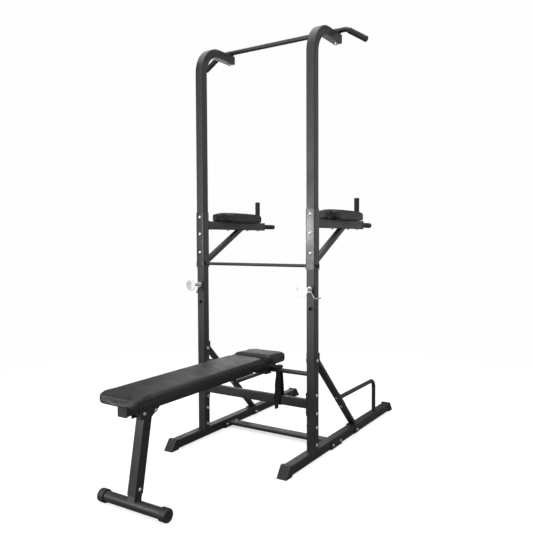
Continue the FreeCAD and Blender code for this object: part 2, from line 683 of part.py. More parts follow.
def make_push_up_handles():
    half_x, half_along = HANDLE_PLATE_HALF
    along = brace_normal().cross(X_AXIS)
    bolts = []
    nuts = []
    for side, sign in SIDES:
        x = sign * POST_X
        seat = brace_point(x, sum(HANDLE_BOLTS_Y) / 2, REAR_BRACE_THICK / 2)
        plate = Part.makeBox(2 * half_x, 2 * half_along, HANDLE_PLATE, vec(-half_x, -half_along, 0))
        plate.Placement = FreeCAD.Placement(seat, FreeCAD.Rotation(X_AXIS, along, brace_normal(), "ZXY"))
        route = [
            ((x, seat.y - 20, HANDLE_Z), 0),
            ((x, HANDLE_FAR_Y, HANDLE_Z), HANDLE_BEND),
            ((x, HANDLE_FAR_Y, BASE_TOP), 0),
        ]
        bar = swept(route, HANDLE_R)
        behind = Part.makeBox(200, 400, 200, vec(-100, -200, -200))
        behind.Placement = FreeCAD.Placement(seat, plate.Placement.Rotation)
        handle = bar.cut(behind).fuse(plate)
        for y in HANDLE_BOLTS_Y:
            handle = drill(handle, brace_point(x, y, 0), brace_normal(), 60)
            under = brace_point(x, y, -REAR_BRACE_THICK / 2)
            down = brace_normal() * -1
            length = REAR_BRACE_THICK + HANDLE_PLATE + NUT_H + 3
            bolts.append(dome_bolt(under, (down.x, down.y, down.z), length))
            upper = brace_point(x, y, REAR_BRACE_THICK / 2 + HANDLE_PLATE)
            up = brace_normal()
            nuts.append(hex_nut(upper, (up.x, up.y, up.z), 8.0, 6.0))
        keep("push_up_handle_" + side, handle)
    return bolts, nuts


# ---------------------------------------------------------------- barbell rests
def make_rests():
    grommets = []
    half = POST / 2
    for side, sign in SIDES:
        x = sign * POST_X
        for z in (REST_Z, SPARE_HOLE_Z):
            for face, inward in ((-half, 1), (half, -1)):
                lip = rod(vec(x, face - inward * GROMMET_LIP, z), vec(x, face, z), GROMMET_R)
                barrel = rod(vec(x, face, z), vec(x, face + inward * 5.0, z), GROMMET_BARREL_R)
                whole = lip.fuse(barrel)
                grommets.append(drill(whole, vec(x, face, z), Y_AXIS, 40, REST_ROD_R + RUN_GAP))
        disc_back = REST_DISC_Y + REST_DISC_THICK
        disc = rod(vec(x, REST_DISC_Y, REST_Z), vec(x, disc_back, REST_Z), REST_DISC_R)
        disc = disc.makeFillet(0.8, [edge for edge in disc.Edges if hasattr(edge.Curve, "Radius")])
        shank = rod(vec(x, disc_back - 1, REST_Z), vec(x, REST_TAIL_Y, REST_Z), REST_ROD_R)
        tail = vec(x, REST_TAIL_Y, REST_Z)
        shank = shank.makeFillet(3.0, [edge for edge in shank.Edges if on_end(edge, tail)])
        keep("barbell_rest_" + side, disc.fuse(shank))

        out, down = BAIL_REACH
        leg_x = x + sign * out
        leg_z = REST_Z + down
        ring_y = sum(BAIL_RING_Y) / 2
        wire = swept([
            ((x, ring_y, REST_Z), 0),
            ((leg_x, ring_y, leg_z), 9.0),
            ((leg_x, BAIL_END_Y, leg_z), 0),
        ], BAIL_WIRE_R)
        collar = rod(vec(x, BAIL_RING_Y[0], REST_Z), vec(x, BAIL_RING_Y[1], REST_Z), BAIL_RING_R)
        bail = wire.fuse(collar)
        keep("rest_bail_" + side, drill(bail, vec(x, ring_y, REST_Z), Y_AXIS, 30, REST_ROD_R + RUN_GAP))
    keep("post_hole_grommets", *grommets)


# ---------------------------------------------------------------- bench
def make_bench_top():
    middle_y = (BENCH_FRONT + BENCH_REAR) / 2
    half_y = (BENCH_REAR - BENCH_FRONT) / 2
    inset = BENCH_BOARD_INSET
    board = bar_along("z", BENCH_HALF - inset, half_y - inset, BENCH_BOARD, BENCH_CORNER - inset)
    board.translate(vec(0, middle_y, BENCH_BOARD_Z))
    keep("bench_board", board)
    pad_bottom = BENCH_BOARD_Z + BENCH_BOARD + 0.2
    pad = bar_along("z", BENCH_HALF, half_y, BENCH_TOP - pad_bottom, BENCH_CORNER)
    pad.translate(vec(0, middle_y, pad_bottom))
    keep("bench_pad", pad)


def make_bench_frame():
    beam_bottom = BENCH_BOARD_Z - BEAM_HEIGHT
    middle_z = beam_bottom + BEAM_HEIGHT / 2
    beam = square_tube("y", vec(0, BEAM_FRONT, middle_z), YOKE_Y[0] - BEAM_FRONT, BEAM_WIDTH, BEAM_HEIGHT)
    plate_outline = [(-960, 484), (-826, 484), (-832, 440), (-885, 405), (-952, 405)]
    plates = []
    for _, sign in SIDES:
        faces = sorted((sign * BEAM_WIDTH / 2, sign * (BEAM_WIDTH / 2 + BEAM_PLATE)))
        plates.append(prism(plate_outline, *faces))
    beam = beam.fuse(plates)
    for y in LEG_BOLTS_Y:
        beam = drill(beam, vec(0, y, LEG_BOLT_Z), X_AXIS, 80)
    keep("bench_beam", beam)

    lip_height = BEAM_HEIGHT + BEAM_LIP
    lip = bar_along("y", BEAM_WIDTH / 2 + BEAM_LIP, lip_height / 2, 5.0, CORNER)
    lip.translate(vec(0, BEAM_FRONT - 5.0, BENCH_BOARD_Z - lip_height / 2))
    plug = bar_along("y", BEAM_WIDTH / 2 - WALL - 0.2, BEAM_HEIGHT / 2 - WALL - 0.2, 10.0, 1.5)
    plug.translate(vec(0, BEAM_FRONT, middle_z))
    keep("bench_beam_cap", lip.fuse(plug))

    depth = YOKE_Y[1] - YOKE_Y[0]
    height = BENCH_BOARD_Z - YOKE_BOTTOM
    start = vec(-YOKE_HALF, (YOKE_Y[0] + YOKE_Y[1]) / 2, YOKE_BOTTOM + height / 2)
    keep("bench_yoke", square_tube("x", start, 2 * YOKE_HALF, height, depth))
    notch_r = HOOK_BAR_R + RUN_GAP
    hooks = []
    for _, sign in SIDES:
        faces = sorted((sign * YOKE_HALF, sign * (YOKE_HALF + HOOK_PLATE)))
        outline = [(HOOK_Y[0], 468), (-50, 451), (-18, 447), (-notch_r, 447), (-notch_r, HOOK_BAR_Z),
                   (notch_r, HOOK_BAR_Z), (notch_r, 447), (18, 447), (HOOK_Y[1], 458),
                   (HOOK_Y[1], BENCH_BOARD_Z), (HOOK_Y[0], BENCH_BOARD_Z)]
        plate = prism(outline, *faces)
        hooks.append(plate.cut(rod(vec(-200, 0, HOOK_BAR_Z), vec(200, 0, HOOK_BAR_Z), notch_r)))
    keep("bench_hooks", *hooks)


def leg_axis_y(z):
    """Y of the leg's centre line at a height."""
    slope = (LEG_TOP_Y - LEG_FOOT_Y) / (LEG_TOP_Z - FOOT_CAP_R)
    return LEG_FOOT_Y + slope * (z - FOOT_CAP_R)


def make_leg():
    foot = (leg_axis_y(LEG_END_Z), LEG_END_Z)
    head = (LEG_TOP_Y, LEG_TOP_Z)
    leg = leaning_tube(0, foot, head, POST, POST, 60.0)
    leg = leg.common(box((-30, 30), (-1100, -700), (LEG_END_Z, LEG_TOP_Z)))
    half = BEAM_WIDTH / 2
    head_bar = box((-half, half), LEG_HEAD_Y, (LEG_TOP_Z, BENCH_BOARD_Z - BEAM_HEIGHT))
    leg = leg.fuse(head_bar)
    for y in LEG_BOLTS_Y:
        leg = drill(leg, vec(0, y, LEG_BOLT_Z), X_AXIS, 80)
    bolt_y = leg_axis_y(FOOT_BOLT_Z)
    leg = drill(leg, vec(0, bolt_y, FOOT_BOLT_Z), X_AXIS, 80)
    keep("bench_leg", leg)

    stub_end = (leg_axis_y(STUB_END_Z), STUB_END_Z)
    stub = leaning_tube(0, (LEG_FOOT_Y, FOOT_CAP_R), stub_end, STUB_SIDE, STUB_SIDE, 0.0)
    left_end = vec(-FOOT_HALF, LEG_FOOT_Y, FOOT_CAP_R)
    right_end = vec(FOOT_HALF, LEG_FOOT_Y, FOOT_CAP_R)
    tube = rod(left_end, right_end, FOOT_R)
    bore = rod(left_end, right_end, FOOT_R - WALL)
    whole = stub.cut(tube).fuse(tube.cut(bore))
    keep("bench_foot", drill(whole, vec(0, bolt_y, FOOT_BOLT_Z), X_AXIS, 80))
    caps = []
    for _, sign in SIDES:
        end = vec(sign * FOOT_CAP_END, LEG_FOOT_Y, FOOT_CAP_R)
        back = vec(sign * FOOT_CAP_BACK, LEG_FOOT_Y, FOOT_CAP_R)
        cap = rod(back, end, FOOT_CAP_R)
        cap = cap.makeFillet(8.0, [edge for edge in cap.Edges if on_end(edge, end)])
        caps.append(cap.cut(rod(left_end, right_end, FOOT_R)))
    keep("bench_foot_caps", *caps)


def make_bench_bolts():
    bolts = []
    nuts = []
    outer = BEAM_WIDTH / 2 + BEAM_PLATE
    for y in LEG_BOLTS_Y:
        bolts.append(dome_bolt(vec(outer, y, LEG_BOLT_Z), (1, 0, 0), 2 * outer + NUT_H + 3))
        nuts.append(hex_nut(vec(-outer, y, LEG_BOLT_Z), (-1, 0, 0)))
    bolt_y = leg_axis_y(FOOT_BOLT_Z)
    bolts.append(dome_bolt(vec(POST / 2, bolt_y, FOOT_BOLT_Z), (1, 0, 0), POST + NUT_H + 3))
    nuts.append(hex_nut(vec(-POST / 2, bolt_y, FOOT_BOLT_Z), (-1, 0, 0)))
    keep("bench_bolts", *bolts)
    keep("bench_nuts", *nuts)


# ---------------------------------------------------------------- strap
def make_strap():
    upper = BENCH_TOP + 0.3
    half = STRAP_WIDTH / 2
    face = BENCH_HALF + 0.3
    across = box((-face - STRAP, face + STRAP), (STRAP_Y - half, STRAP_Y + half), (upper, upper + STRAP))
    outline = [(STRAP_Y - half, upper), (STRAP_Y + half, upper),
               (STRAP_Y + STRAP_SHIFT + half, STRAP_END_Z), (STRAP_Y + STRAP_SHIFT - half, STRAP_END_Z)]
    band = across
    for _, sign in SIDES:
        faces = sorted((sign * face, sign * (face + STRAP)))
        band = band.fuse(prism(outline, *faces))
    keep("strap_over_bench", band)

    gap = 0.3
    ring_r = HOOK_BAR_R + gap
    reach = SEAT_TUBE_DEPTH / 2 + gap
    bottom = SEAT_TUBE_BOTTOM - gap
    solids = []
    for grow in (STRAP, 0.0):
        half_top = ring_r + grow
        half_low = reach + grow
        sides = [(-half_top, HOOK_BAR_Z), (half_top, HOOK_BAR_Z),
                 (half_low, SEAT_TUBE_BOTTOM + SEAT_TUBE_HEIGHT + gap), (half_low, bottom - grow),
                 (-half_low, bottom - grow), (-half_low, SEAT_TUBE_BOTTOM + SEAT_TUBE_HEIGHT + gap)]
        body = prism(sides, *LOOP_X)
        crown = rod(vec(LOOP_X[0], 0, HOOK_BAR_Z), vec(LOOP_X[1], 0, HOOK_BAR_Z), half_top)
        solids.append(body.fuse(crown))
    tail = box(LOOP_X, (-reach - 2 * STRAP, -reach - STRAP), (LOOP_TAIL_Z, SEAT_TUBE_BOTTOM + 60))
    keep("strap_lashing", solids[0].cut(solids[1]).fuse(tail))

    low = HOOK_BAR_Z + ring_r + STRAP + 0.2
    high = low + BUCKLE_H
    frame = box(BUCKLE_X, (-BUCKLE_HALF, BUCKLE_HALF), (low, high))
    frame = frame.makeFillet(2.5, [edge for edge in frame.Edges if edge.Length < BUCKLE_H + 1])
    slot_x = (BUCKLE_X[0] + 5.0, BUCKLE_X[1] - 5.0)
    slot = box(slot_x, (4.0 - BUCKLE_HALF, BUCKLE_HALF - 4.0), (low, high))
    middle_z = (low + high) / 2
    roller = rod(vec(slot_x[0], 0, middle_z), vec(slot_x[1], 0, middle_z), BUCKLE_BAR_R)
    keep("strap_buckle", frame.cut(slot).fuse(roller))


# ---------------------------------------------------------------- fasteners
def make_frame_bolts(bolts, nuts):
    """Domed bolts that run across the posts and base tubes, heads outward."""
    half = POST / 2
    for _, sign in SIDES:
        places = []
        for z in POST_FOOT_BOLTS_Z:
            places.append((0, z, 0, 0))
        for z in FLANGE_BOLTS_Z:
            places.append((0, z, 0, FLANGE))
        for y in FLOOR_BOLTS_Y:
            places.append((y, FLOOR_BOLT_Z, SADDLE_PLATE, SADDLE_PLATE))
        places.append((0, HEAD_CLIP_BOLT_Z, CLIP, CLIP))
        places.append((FOOT_CLIP_BOLT_Y, FLOOR_BOLT_Z, CLIP, CLIP))
        for y, z, outer, inner in places:
            head_face = vec(sign * (POST_X + half + outer), y, z)
            nut_face = vec(sign * (POST_X - half - inner), y, z)
            reach = POST + outer + inner + NUT_H + 4
            bolts.append(dome_bolt(head_face, (sign, 0, 0), reach))
            nuts.append(hex_nut(nut_face, (-sign, 0, 0)))
    keep("frame_bolts", *bolts)


def make_sleeve_bolts(nuts):
    bolts = []
    face = POST / 2 + SLEEVE_WALL
    for _, sign in SIDES:
        for z in SLEEVE_BOLTS_Z:
            bolts.append(dome_bolt(vec(sign * POST_X, -face, z), (0, -1, 0), 2 * face + NUT_H + 3))
            nuts.append(hex_nut(vec(sign * POST_X, face, z), (0, 1, 0)))
    keep("sleeve_bolts", *bolts)


def make_pad_bolts():
    """Bolts with their heads under the arms: two hold each pad and a short
    one ends each knee-raise handle."""
    bolts = []
    for _, sign in SIDES:
        for y in PAD_BOLTS_Y:
            head_face = vec(sign * ARM_X, y, ARM_BOTTOM)
            bolts.append(dome_bolt(head_face, (0, 0, -1), ARM_HEIGHT + PAD_BOARD))
        handle_face = vec(sign * ARM_X, UPRIGHT_Y, ARM_BOTTOM)
        bolts.append(dome_bolt(handle_face, (0, 0, -1), UPRIGHT_BOLT))
    keep("arm_pad_bolts", *bolts)


def main():
    make_base_tubes()
    make_shoes()
    make_lower_posts()
    make_upper_posts()
    make_sleeves()
    make_arms()
    make_arm_braces()
    make_grips()
    make_arm_pads()
    bolts, nuts = make_pull_up_bar()
    make_crossbar()
    make_seat_cross_member()
    make_hook_bar()
    make_floor_cross_member()
    make_rear_braces()
    handle_bolts, handle_nuts = make_push_up_handles()
    bolts += handle_bolts
    nuts += handle_nuts
    make_rests()
    make_bench_top()
    make_bench_frame()
    make_leg()
    make_bench_bolts()
    make_strap()
    make_frame_bolts(bolts, nuts)
    make_sleeve_bolts(nuts)
    make_pad_bolts()
    keep("frame_nuts", *nuts)
    os.makedirs("parts", exist_ok=True)
    for name, shape in nodes.items():
        shape.translate(vec(0, -ORIGIN_Y, 0))
        shape.exportStep("parts/" + name + ".step")
        if not shape.isValid():
            print("not valid:", name)
    print(len(nodes), "nodes")


main()
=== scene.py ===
import json
import math

import bpy
from mathutils import Matrix, Vector
from mathutils.bvhtree import BVHTree
from mathutils.kdtree import KDTree


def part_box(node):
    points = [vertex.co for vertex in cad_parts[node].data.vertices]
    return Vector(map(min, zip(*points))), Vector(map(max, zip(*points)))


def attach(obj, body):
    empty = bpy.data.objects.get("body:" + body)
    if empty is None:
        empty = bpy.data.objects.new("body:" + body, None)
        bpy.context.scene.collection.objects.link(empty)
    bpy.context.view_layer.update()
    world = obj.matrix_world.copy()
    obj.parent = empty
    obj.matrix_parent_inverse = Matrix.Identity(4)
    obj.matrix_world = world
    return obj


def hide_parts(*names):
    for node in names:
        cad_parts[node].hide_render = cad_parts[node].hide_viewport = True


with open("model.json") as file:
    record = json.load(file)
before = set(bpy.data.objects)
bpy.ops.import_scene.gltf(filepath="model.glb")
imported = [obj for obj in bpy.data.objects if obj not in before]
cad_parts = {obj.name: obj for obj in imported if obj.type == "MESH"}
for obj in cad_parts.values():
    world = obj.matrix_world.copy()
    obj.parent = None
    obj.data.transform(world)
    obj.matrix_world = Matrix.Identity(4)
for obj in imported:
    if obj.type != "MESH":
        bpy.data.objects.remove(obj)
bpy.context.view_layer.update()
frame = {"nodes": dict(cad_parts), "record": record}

# ---------------- places, all from the frame
HOOK_LOW, HOOK_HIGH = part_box("bench_hook_bar")
POST_LINE_Y = (HOOK_LOW.y + HOOK_HIGH.y) / 2          # Y of the line through both posts
HOOK_Z = (HOOK_LOW.z + HOOK_HIGH.z) / 2
HOOK_R = (HOOK_HIGH.z - HOOK_LOW.z) / 2
POST_LOW, POST_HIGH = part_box("lower_post_right")
POST_X = (POST_LOW.x + POST_HIGH.x) / 2
POST_HALF = (POST_HIGH.x - POST_LOW.x) / 2
PAD_LOW, PAD_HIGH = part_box("bench_pad")
BOARD_LOW, BOARD_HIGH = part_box("bench_board")
STRAP_LOW, STRAP_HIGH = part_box("strap_over_bench")
LASH_LOW, LASH_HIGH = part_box("strap_lashing")
SEAT_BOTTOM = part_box("seat_cross_member")[0].z + 0.037   # the tube's underside, above its flanges' lower edge
SEAT_TOP = SEAT_BOTTOM + 0.050
SIDES = (("left", -1), ("right", 1))
X_AXIS = Vector((1, 0, 0))
Y_AXIS = Vector((0, 1, 0))
Z_AXIS = Vector((0, 0, 1))


# ---------------- material helpers
class Nodes:
    """A short way to build one material's node tree."""

    def __init__(self, name):
        self.material = bpy.data.materials.new(name)
        self.material.use_nodes = True
        self.tree = self.material.node_tree
        self.shader = self.tree.nodes["Principled BSDF"]
        self.place = self.add("ShaderNodeTexCoord").outputs["Object"]

    def add(self, kind, **inputs):
        node = self.tree.nodes.new(kind)
        for name, value in inputs.items():
            self.feed(node.inputs[name], value)
        return node

    def feed(self, socket, value):
        if hasattr(value, "is_output"):
            self.tree.links.new(value, socket)
        else:
            socket.default_value = value

    def noise(self, scale, detail=3.0, roughness=0.5):
        node = self.add("ShaderNodeTexNoise", Vector=self.place, Scale=scale, Detail=detail,
                        Roughness=roughness)
        return node.outputs["Fac"]

    def ramp(self, factor, low, high, start=0.0, end=1.0):
        """Maps a factor to a range, clamped."""
        node = self.add("ShaderNodeMapRange", Value=factor)
        for name, value in (("From Min", start), ("From Max", end), ("To Min", low), ("To Max", high)):
            node.inputs[name].default_value = value
        return node.outputs["Result"]

    def mix(self, factor, first, second):
        node = self.tree.nodes.new("ShaderNodeMix")
        node.data_type = "RGBA"
        self.feed(node.inputs["Factor"], factor)
        self.feed(node.inputs["A"], first)
        self.feed(node.inputs["B"], second)
        return node.outputs["Result"]

    def math(self, operation, first, second=0.0):
        node = self.tree.nodes.new("ShaderNodeMath")
        node.operation = operation
        self.feed(node.inputs[0], first)
        self.feed(node.inputs[1], second)
        return node.outputs["Value"]

    def rounded(self, radius):
        """The normal of the shape with its sharp edges rounded off."""
        node = self.add("ShaderNodeBevel", Radius=radius)
        node.samples = 4
        return node.outputs["Normal"]

    def edges(self, radius):
        """1 on a worn edge and 0 on a flat face."""
        flat = self.add("ShaderNodeNewGeometry")
        dot = self.tree.nodes.new("ShaderNodeVectorMath")
        dot.operation = "DOT_PRODUCT"
        self.feed(dot.inputs[0], self.rounded(radius))
        self.feed(dot.inputs[1], flat.outputs["Normal"])
        return self.ramp(dot.outputs["Value"], 1.0, 0.0, 0.82, 0.98)

    def bump(self, height, distance, strength=1.0, before=None):
        node = self.add("ShaderNodeBump", Height=height, Distance=distance, Strength=strength)
        if before is not None:
            self.feed(node.inputs["Normal"], before)
        return node.outputs["Normal"]

    def finish(self, **inputs):
        for name, value in inputs.items():
            self.feed(self.shader.inputs[name.replace("_", " ")], value)
        return self.material


def grey(value, warmth=0.0):
    return (value * (1 + warmth), value, value * (1 - warmth), 1.0)


def make_powder_coat(name, shade, polish):
    """Satin black powder coat: orange-peel bump, mottled gloss, edges rubbed a little lighter.
    shade scales its grey, and polish takes away from its roughness."""
    n = Nodes(name)
    grain = n.noise(1100.0, 2.0)
    peel = n.noise(260.0, 2.0)
    cloud = n.noise(9.0, 3.0)
    base = n.mix(n.ramp(grain, 0.0, 1.0, 0.35, 0.7), grey(0.010 * shade), grey(0.026 * shade))
    dusty = n.mix(n.ramp(cloud, 0.0, 0.35, 0.4, 0.75), base, grey(0.032 * shade, 0.02))
    worn = n.mix(n.math("MULTIPLY", n.edges(0.0016), n.ramp(cloud, 0.25, 0.8)), dusty, grey(0.09))
    normal = n.bump(peel, 0.00025, 0.5, n.rounded(0.0012))
    normal = n.bump(grain, 0.00016, 0.8, normal)
    mottle = n.math("ADD", n.math("MULTIPLY", cloud, 0.6), n.math("MULTIPLY", grain, 0.4))
    rough = n.ramp(mottle, 0.32 - polish, 0.54 - polish, 0.3, 0.7)
    return n.finish(Base_Color=worn, Roughness=rough, Normal=normal, Specular_IOR_Level=0.5)


def make_vinyl():
    """Black upholstery vinyl: leather cells with painted shade in their creases, fine pores, soft sheen."""
    n = Nodes("grained_vinyl_black")
    cells = n.add("ShaderNodeTexVoronoi", Vector=n.place, Scale=620.0, Randomness=0.9)
    cells.feature = "DISTANCE_TO_EDGE"
    creases = n.ramp(cells.outputs["Distance"], 0.0, 1.0, 0.0, 0.22)
    pores = n.noise(2300.0, 2.0)
    cloud = n.noise(14.0, 3.0)
    # painted shade: the cells' creases are coloured darker, as if shaded
    colour = n.mix(creases, grey(0.004), grey(0.012))
    colour = n.mix(n.ramp(cloud, 0.0, 0.5, 0.4, 0.75), colour, grey(0.018))
    normal = n.bump(creases, 0.00022, 0.75)
    normal = n.bump(pores, 0.00008, 0.5, normal)
    normal = n.bump(cloud, 0.0012, 0.25, normal)
    rough = n.ramp(n.math("ADD", cloud, n.math("MULTIPLY", pores, 0.3)), 0.36, 0.54, 0.4, 0.95)
    return n.finish(Base_Color=colour, Roughness=rough, Normal=normal, Specular_IOR_Level=0.5)


def make_zinc():
    n = Nodes("zinc_plate")
    fine = n.noise(900.0, 3.0)
    cloud = n.noise(160.0, 3.0)
    colour = n.mix(cloud, (0.78, 0.78, 0.76, 1), (0.62, 0.63, 0.60, 1))
    rough = n.ramp(fine, 0.2, 0.38, 0.3, 0.7)
    return n.finish(Base_Color=colour, Metallic=0.9, Roughness=rough, Normal=n.bump(fine, 0.00005, 0.5))


def make_galvanised():
    """Zinc spangle: crystal patches that differ in brightness and gloss."""
    n = Nodes("galvanised_steel")
    spangle = n.add("ShaderNodeTexVoronoi", Vector=n.place, Scale=170.0, Randomness=1.0)
    patch = n.add("ShaderNodeSeparateColor", Color=spangle.outputs["Color"]).outputs["Red"]
    fine = n.noise(700.0, 3.0)
    colour = n.mix(patch, (0.50, 0.51, 0.51, 1), (0.72, 0.73, 0.72, 1))
    worn = n.mix(n.edges(0.001), colour, (0.82, 0.82, 0.80, 1))
    rough = n.ramp(patch, 0.34, 0.52)
    return n.finish(Base_Color=worn, Metallic=0.75, Roughness=rough, Normal=n.bump(fine, 0.00006, 0.5))


def make_plastic():
    n = Nodes("moulded_plastic_black")
    grain = n.noise(1500.0, 2.0)
    cloud = n.noise(30.0, 3.0)
    colour = n.mix(cloud, grey(0.009), grey(0.020))
    scuffed = n.mix(n.math("MULTIPLY", n.edges(0.0012), 0.6), colour, grey(0.05))
    rough = n.ramp(cloud, 0.42, 0.6, 0.3, 0.7)
    return n.finish(Base_Color=scuffed, Roughness=rough, Normal=n.bump(grain, 0.00012, 0.6))


def make_rubber(name, low, high, roughness):
    n = Nodes(name)
    grain = n.noise(1900.0, 2.0)
    dust = n.noise(45.0, 4.0)
    colour = n.mix(n.ramp(dust, 0.0, 1.0, 0.35, 0.8), grey(low), grey(high))
    rough = n.ramp(dust, roughness, roughness + 0.16)
    return n.finish(Base_Color=colour, Roughness=rough, Normal=n.bump(grain, 0.0001, 0.6))


RIB_ACROSS = 0.0016         # the woven ribs' pitch across the strap, and along it
RIB_ALONG = 0.0011


def make_webbing():
    """Woven strap: warp ribs along its length and weft across, with painted shade in the gaps between them,
    from the strap's own UV in metres.
    """
    n = Nodes("woven_webbing_black")
    uv = n.add("ShaderNodeTexCoord").outputs["UV"]
    split = n.add("ShaderNodeSeparateXYZ", Vector=uv)
    across = n.math("SINE", n.math("MULTIPLY", split.outputs["X"], 2 * math.pi / RIB_ACROSS))
    along = n.math("SINE", n.math("MULTIPLY", split.outputs["Y"], 2 * math.pi / RIB_ALONG))
    weave = n.math("MULTIPLY", n.ramp(across, 0.3, 1.0, -1.0, 1.0), n.ramp(along, 0.45, 1.0, -1.0, 1.0))
    fuzz = n.noise(2600.0, 2.0)
    # painted light and shade: the ribs' crests are coloured lighter and the gaps between them darker
    colour = n.mix(weave, grey(0.004), grey(0.017))
    colour = n.mix(n.ramp(fuzz, 0.0, 0.35, 0.5, 0.8), colour, grey(0.032))
    normal = n.bump(weave, 0.0003, 0.8)
    normal = n.bump(fuzz, 0.0001, 0.5, normal)
    rough = n.ramp(fuzz, 0.74, 0.9)
    return n.finish(Base_Color=colour, Roughness=rough, Normal=normal, Specular_IOR_Level=0.3)


def make_board():
    """Backing board under the pads: dark stained fibreboard."""
    n = Nodes("dark_fibreboard")
    fibre_noise = n.add("ShaderNodeTexNoise", Vector=n.place, Scale=420.0, Detail=4.0, Distortion=1.2)
    fibres = fibre_noise.outputs["Fac"]
    cloud = n.noise(20.0, 3.0)
    colour = n.mix(fibres, (0.012, 0.011, 0.010, 1), (0.035, 0.030, 0.026, 1))
    colour = n.mix(n.ramp(cloud, 0.0, 0.4), colour, (0.05, 0.045, 0.04, 1))
    return n.finish(Base_Color=colour, Roughness=0.78, Normal=n.bump(fibres, 0.0002, 0.7))


def make_black_steel():
    n = Nodes("black_oxide_steel")
    fine = n.noise(800.0, 3.0)
    colour = n.mix(fine, grey(0.012), grey(0.035))
    worn = n.mix(n.math("MULTIPLY", n.edges(0.0007), 0.8), colour, grey(0.16))
    rough = n.ramp(fine, 0.3, 0.48)
    return n.finish(Base_Color=worn, Metallic=0.5, Roughness=rough, Normal=n.bump(fine, 0.00005, 0.5))


def make_thread():
    n = Nodes("sewing_thread_black")
    twist = n.noise(3000.0, 2.0)
    colour = n.mix(twist, grey(0.008), grey(0.03))
    return n.finish(Base_Color=colour, Roughness=0.7, Normal=n.bump(twist, 0.0001, 0.7))


def make_nylon():
    n = Nodes("lock_nut_nylon")
    cloud = n.noise(300.0, 2.0)
    colour = n.mix(cloud, (0.50, 0.50, 0.47, 1), (0.62, 0.62, 0.58, 1))
    return n.finish(Base_Color=colour, Roughness=0.5, Normal=n.bump(cloud, 0.00008, 0.4))


FLOOR_BOUNCE = 0.20         # how pale the floor is for the light it throws back on the object
FADE = (1.3, 3.2)           # the floor's grey fades out between these distances from the object
SWEEP = (4.0, 6.0)          # and polished parts see it grow bright between these


def make_floor_material():
    """A pale floor that fades to plain white away from the object and gives back little light."""
    n = Nodes("studio_floor")
    cloud = n.noise(2.0, 2.0)
    seen = n.add("ShaderNodeLightPath").outputs["Is Camera Ray"]
    span = n.tree.nodes.new("ShaderNodeVectorMath")
    span.operation = "LENGTH"
    n.feed(span.inputs[0], n.place)
    far = n.ramp(span.outputs["Value"], 0.0, 1.0, *FADE)
    pale = n.mix(cloud, grey(0.50), grey(0.53))
    shown = n.mix(far, pale, grey(0.0))
    colour = n.mix(seen, grey(FLOOR_BOUNCE), shown)
    mirrored = n.add("ShaderNodeLightPath").outputs["Is Glossy Ray"]
    sweep = n.math("MULTIPLY", mirrored, n.ramp(span.outputs["Value"], 0.0, 0.9, *SWEEP))
    glow = n.math("ADD", n.math("MULTIPLY", seen, n.ramp(far, 0.64, 0.99)), sweep)
    return n.finish(Base_Color=colour, Roughness=0.85, Specular_IOR_Level=0.0,
                    Emission_Color=grey(1.0), Emission_Strength=glow)


POWDER = make_powder_coat("powder_coat_black", 1.0, 0.0)
# the post sleeves' copy of the powder coat: smoother for real gloss, and its grey painted 15% lighter as
# painted highlight where the sleeves reflect light
SLEEVE_POWDER_PAINTED_LIGHTER = make_powder_coat("powder_coat_smooth_painted_lighter", 1.15, 0.14)
VINYL = make_vinyl()
ZINC = make_zinc()
GALVANISED = make_galvanised()
PLASTIC = make_plastic()
RUBBER = make_rubber("cap_rubber_black", 0.010, 0.024, 0.5)
GRIP = make_rubber("grip_rubber_black", 0.007, 0.018, 0.62)
WEBBING = make_webbing()
BOARD = make_board()
BLACK_STEEL = make_black_steel()
THREAD = make_thread()
NYLON = make_nylon()

SLOT_MATERIALS = {
    "powder_coat": POWDER,
    "black_plastic": PLASTIC,
    "rubber": RUBBER,
    "grip_rubber": GRIP,
    "black_vinyl": VINYL,
    "board": BOARD,
    "zinc": ZINC,
    "black_screw": BLACK_STEEL,
    "galvanised": GALVANISED,
    "webbing": WEBBING,
}
SLOT_OF = {finish.name: slot for slot, finish in SLOT_MATERIALS.items()}
SLOT_OF[THREAD.name] = "webbing"
SLOT_OF[SLEEVE_POWDER_PAINTED_LIGHTER.name] = "powder_coat"
SLOT_OF[NYLON.name] = "zinc"


CRISP_ANGLE = math.radians(28)   # edges sharper than this stay crisp


def dress_cad_nodes():
    """Gives each CAD node its material and smooth shading that stops at its sharp edges."""
    slots = {part["node"]: part["material_slot"] for part in frame["record"]["subparts"]}
    for name, node in frame["nodes"].items():
        node.data.materials.clear()
        # the post sleeves get the copy of the coat whose grey is painted lighter as painted highlight
        finish = SLEEVE_POWDER_PAINTED_LIGHTER if name.startswith("post_sleeve") else SLOT_MATERIALS[slots[name]]
        node.data.materials.append(finish)
        weld = node.modifiers.new("weld", "WELD")
        weld.merge_threshold = 0.00001
        split = node.modifiers.new("crisp_edges", "EDGE_SPLIT")
        split.split_angle = CRISP_ANGLE
        for polygon in node.data.polygons:
            polygon.use_smooth = True


# ---------------- mesh helpers
def piece(name, vertices, faces, material, body, uv=None):
    """A smooth-shaded mesh that rides on a body. uv is one pair per vertex."""
    mesh = bpy.data.meshes.new(name)
    mesh.from_pydata([tuple(v) for v in vertices], [], faces)
    if uv is not None:
        layer = mesh.uv_layers.new(name="UVMap")
        for loop in mesh.loops:
            layer.data[loop.index].uv = uv[loop.vertex_index]
    mesh.materials.append(material)
    for polygon in mesh.polygons:
        polygon.use_smooth = True
    mesh.update()
    made = bpy.data.objects.new(name, mesh)
    bpy.context.scene.collection.objects.link(made)
    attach(made, body)
    return made


class Batch:
    """Many small closed shapes that become one piece."""

    def __init__(self):
        self.vertices = []
        self.faces = []

    def add(self, vertices, faces):
        first = len(self.vertices)
        self.vertices += vertices
        self.faces += [tuple(first + index for index in face) for face in faces]

    def make(self, name, material, body):
        return piece(name, self.vertices, self.faces, material, body)


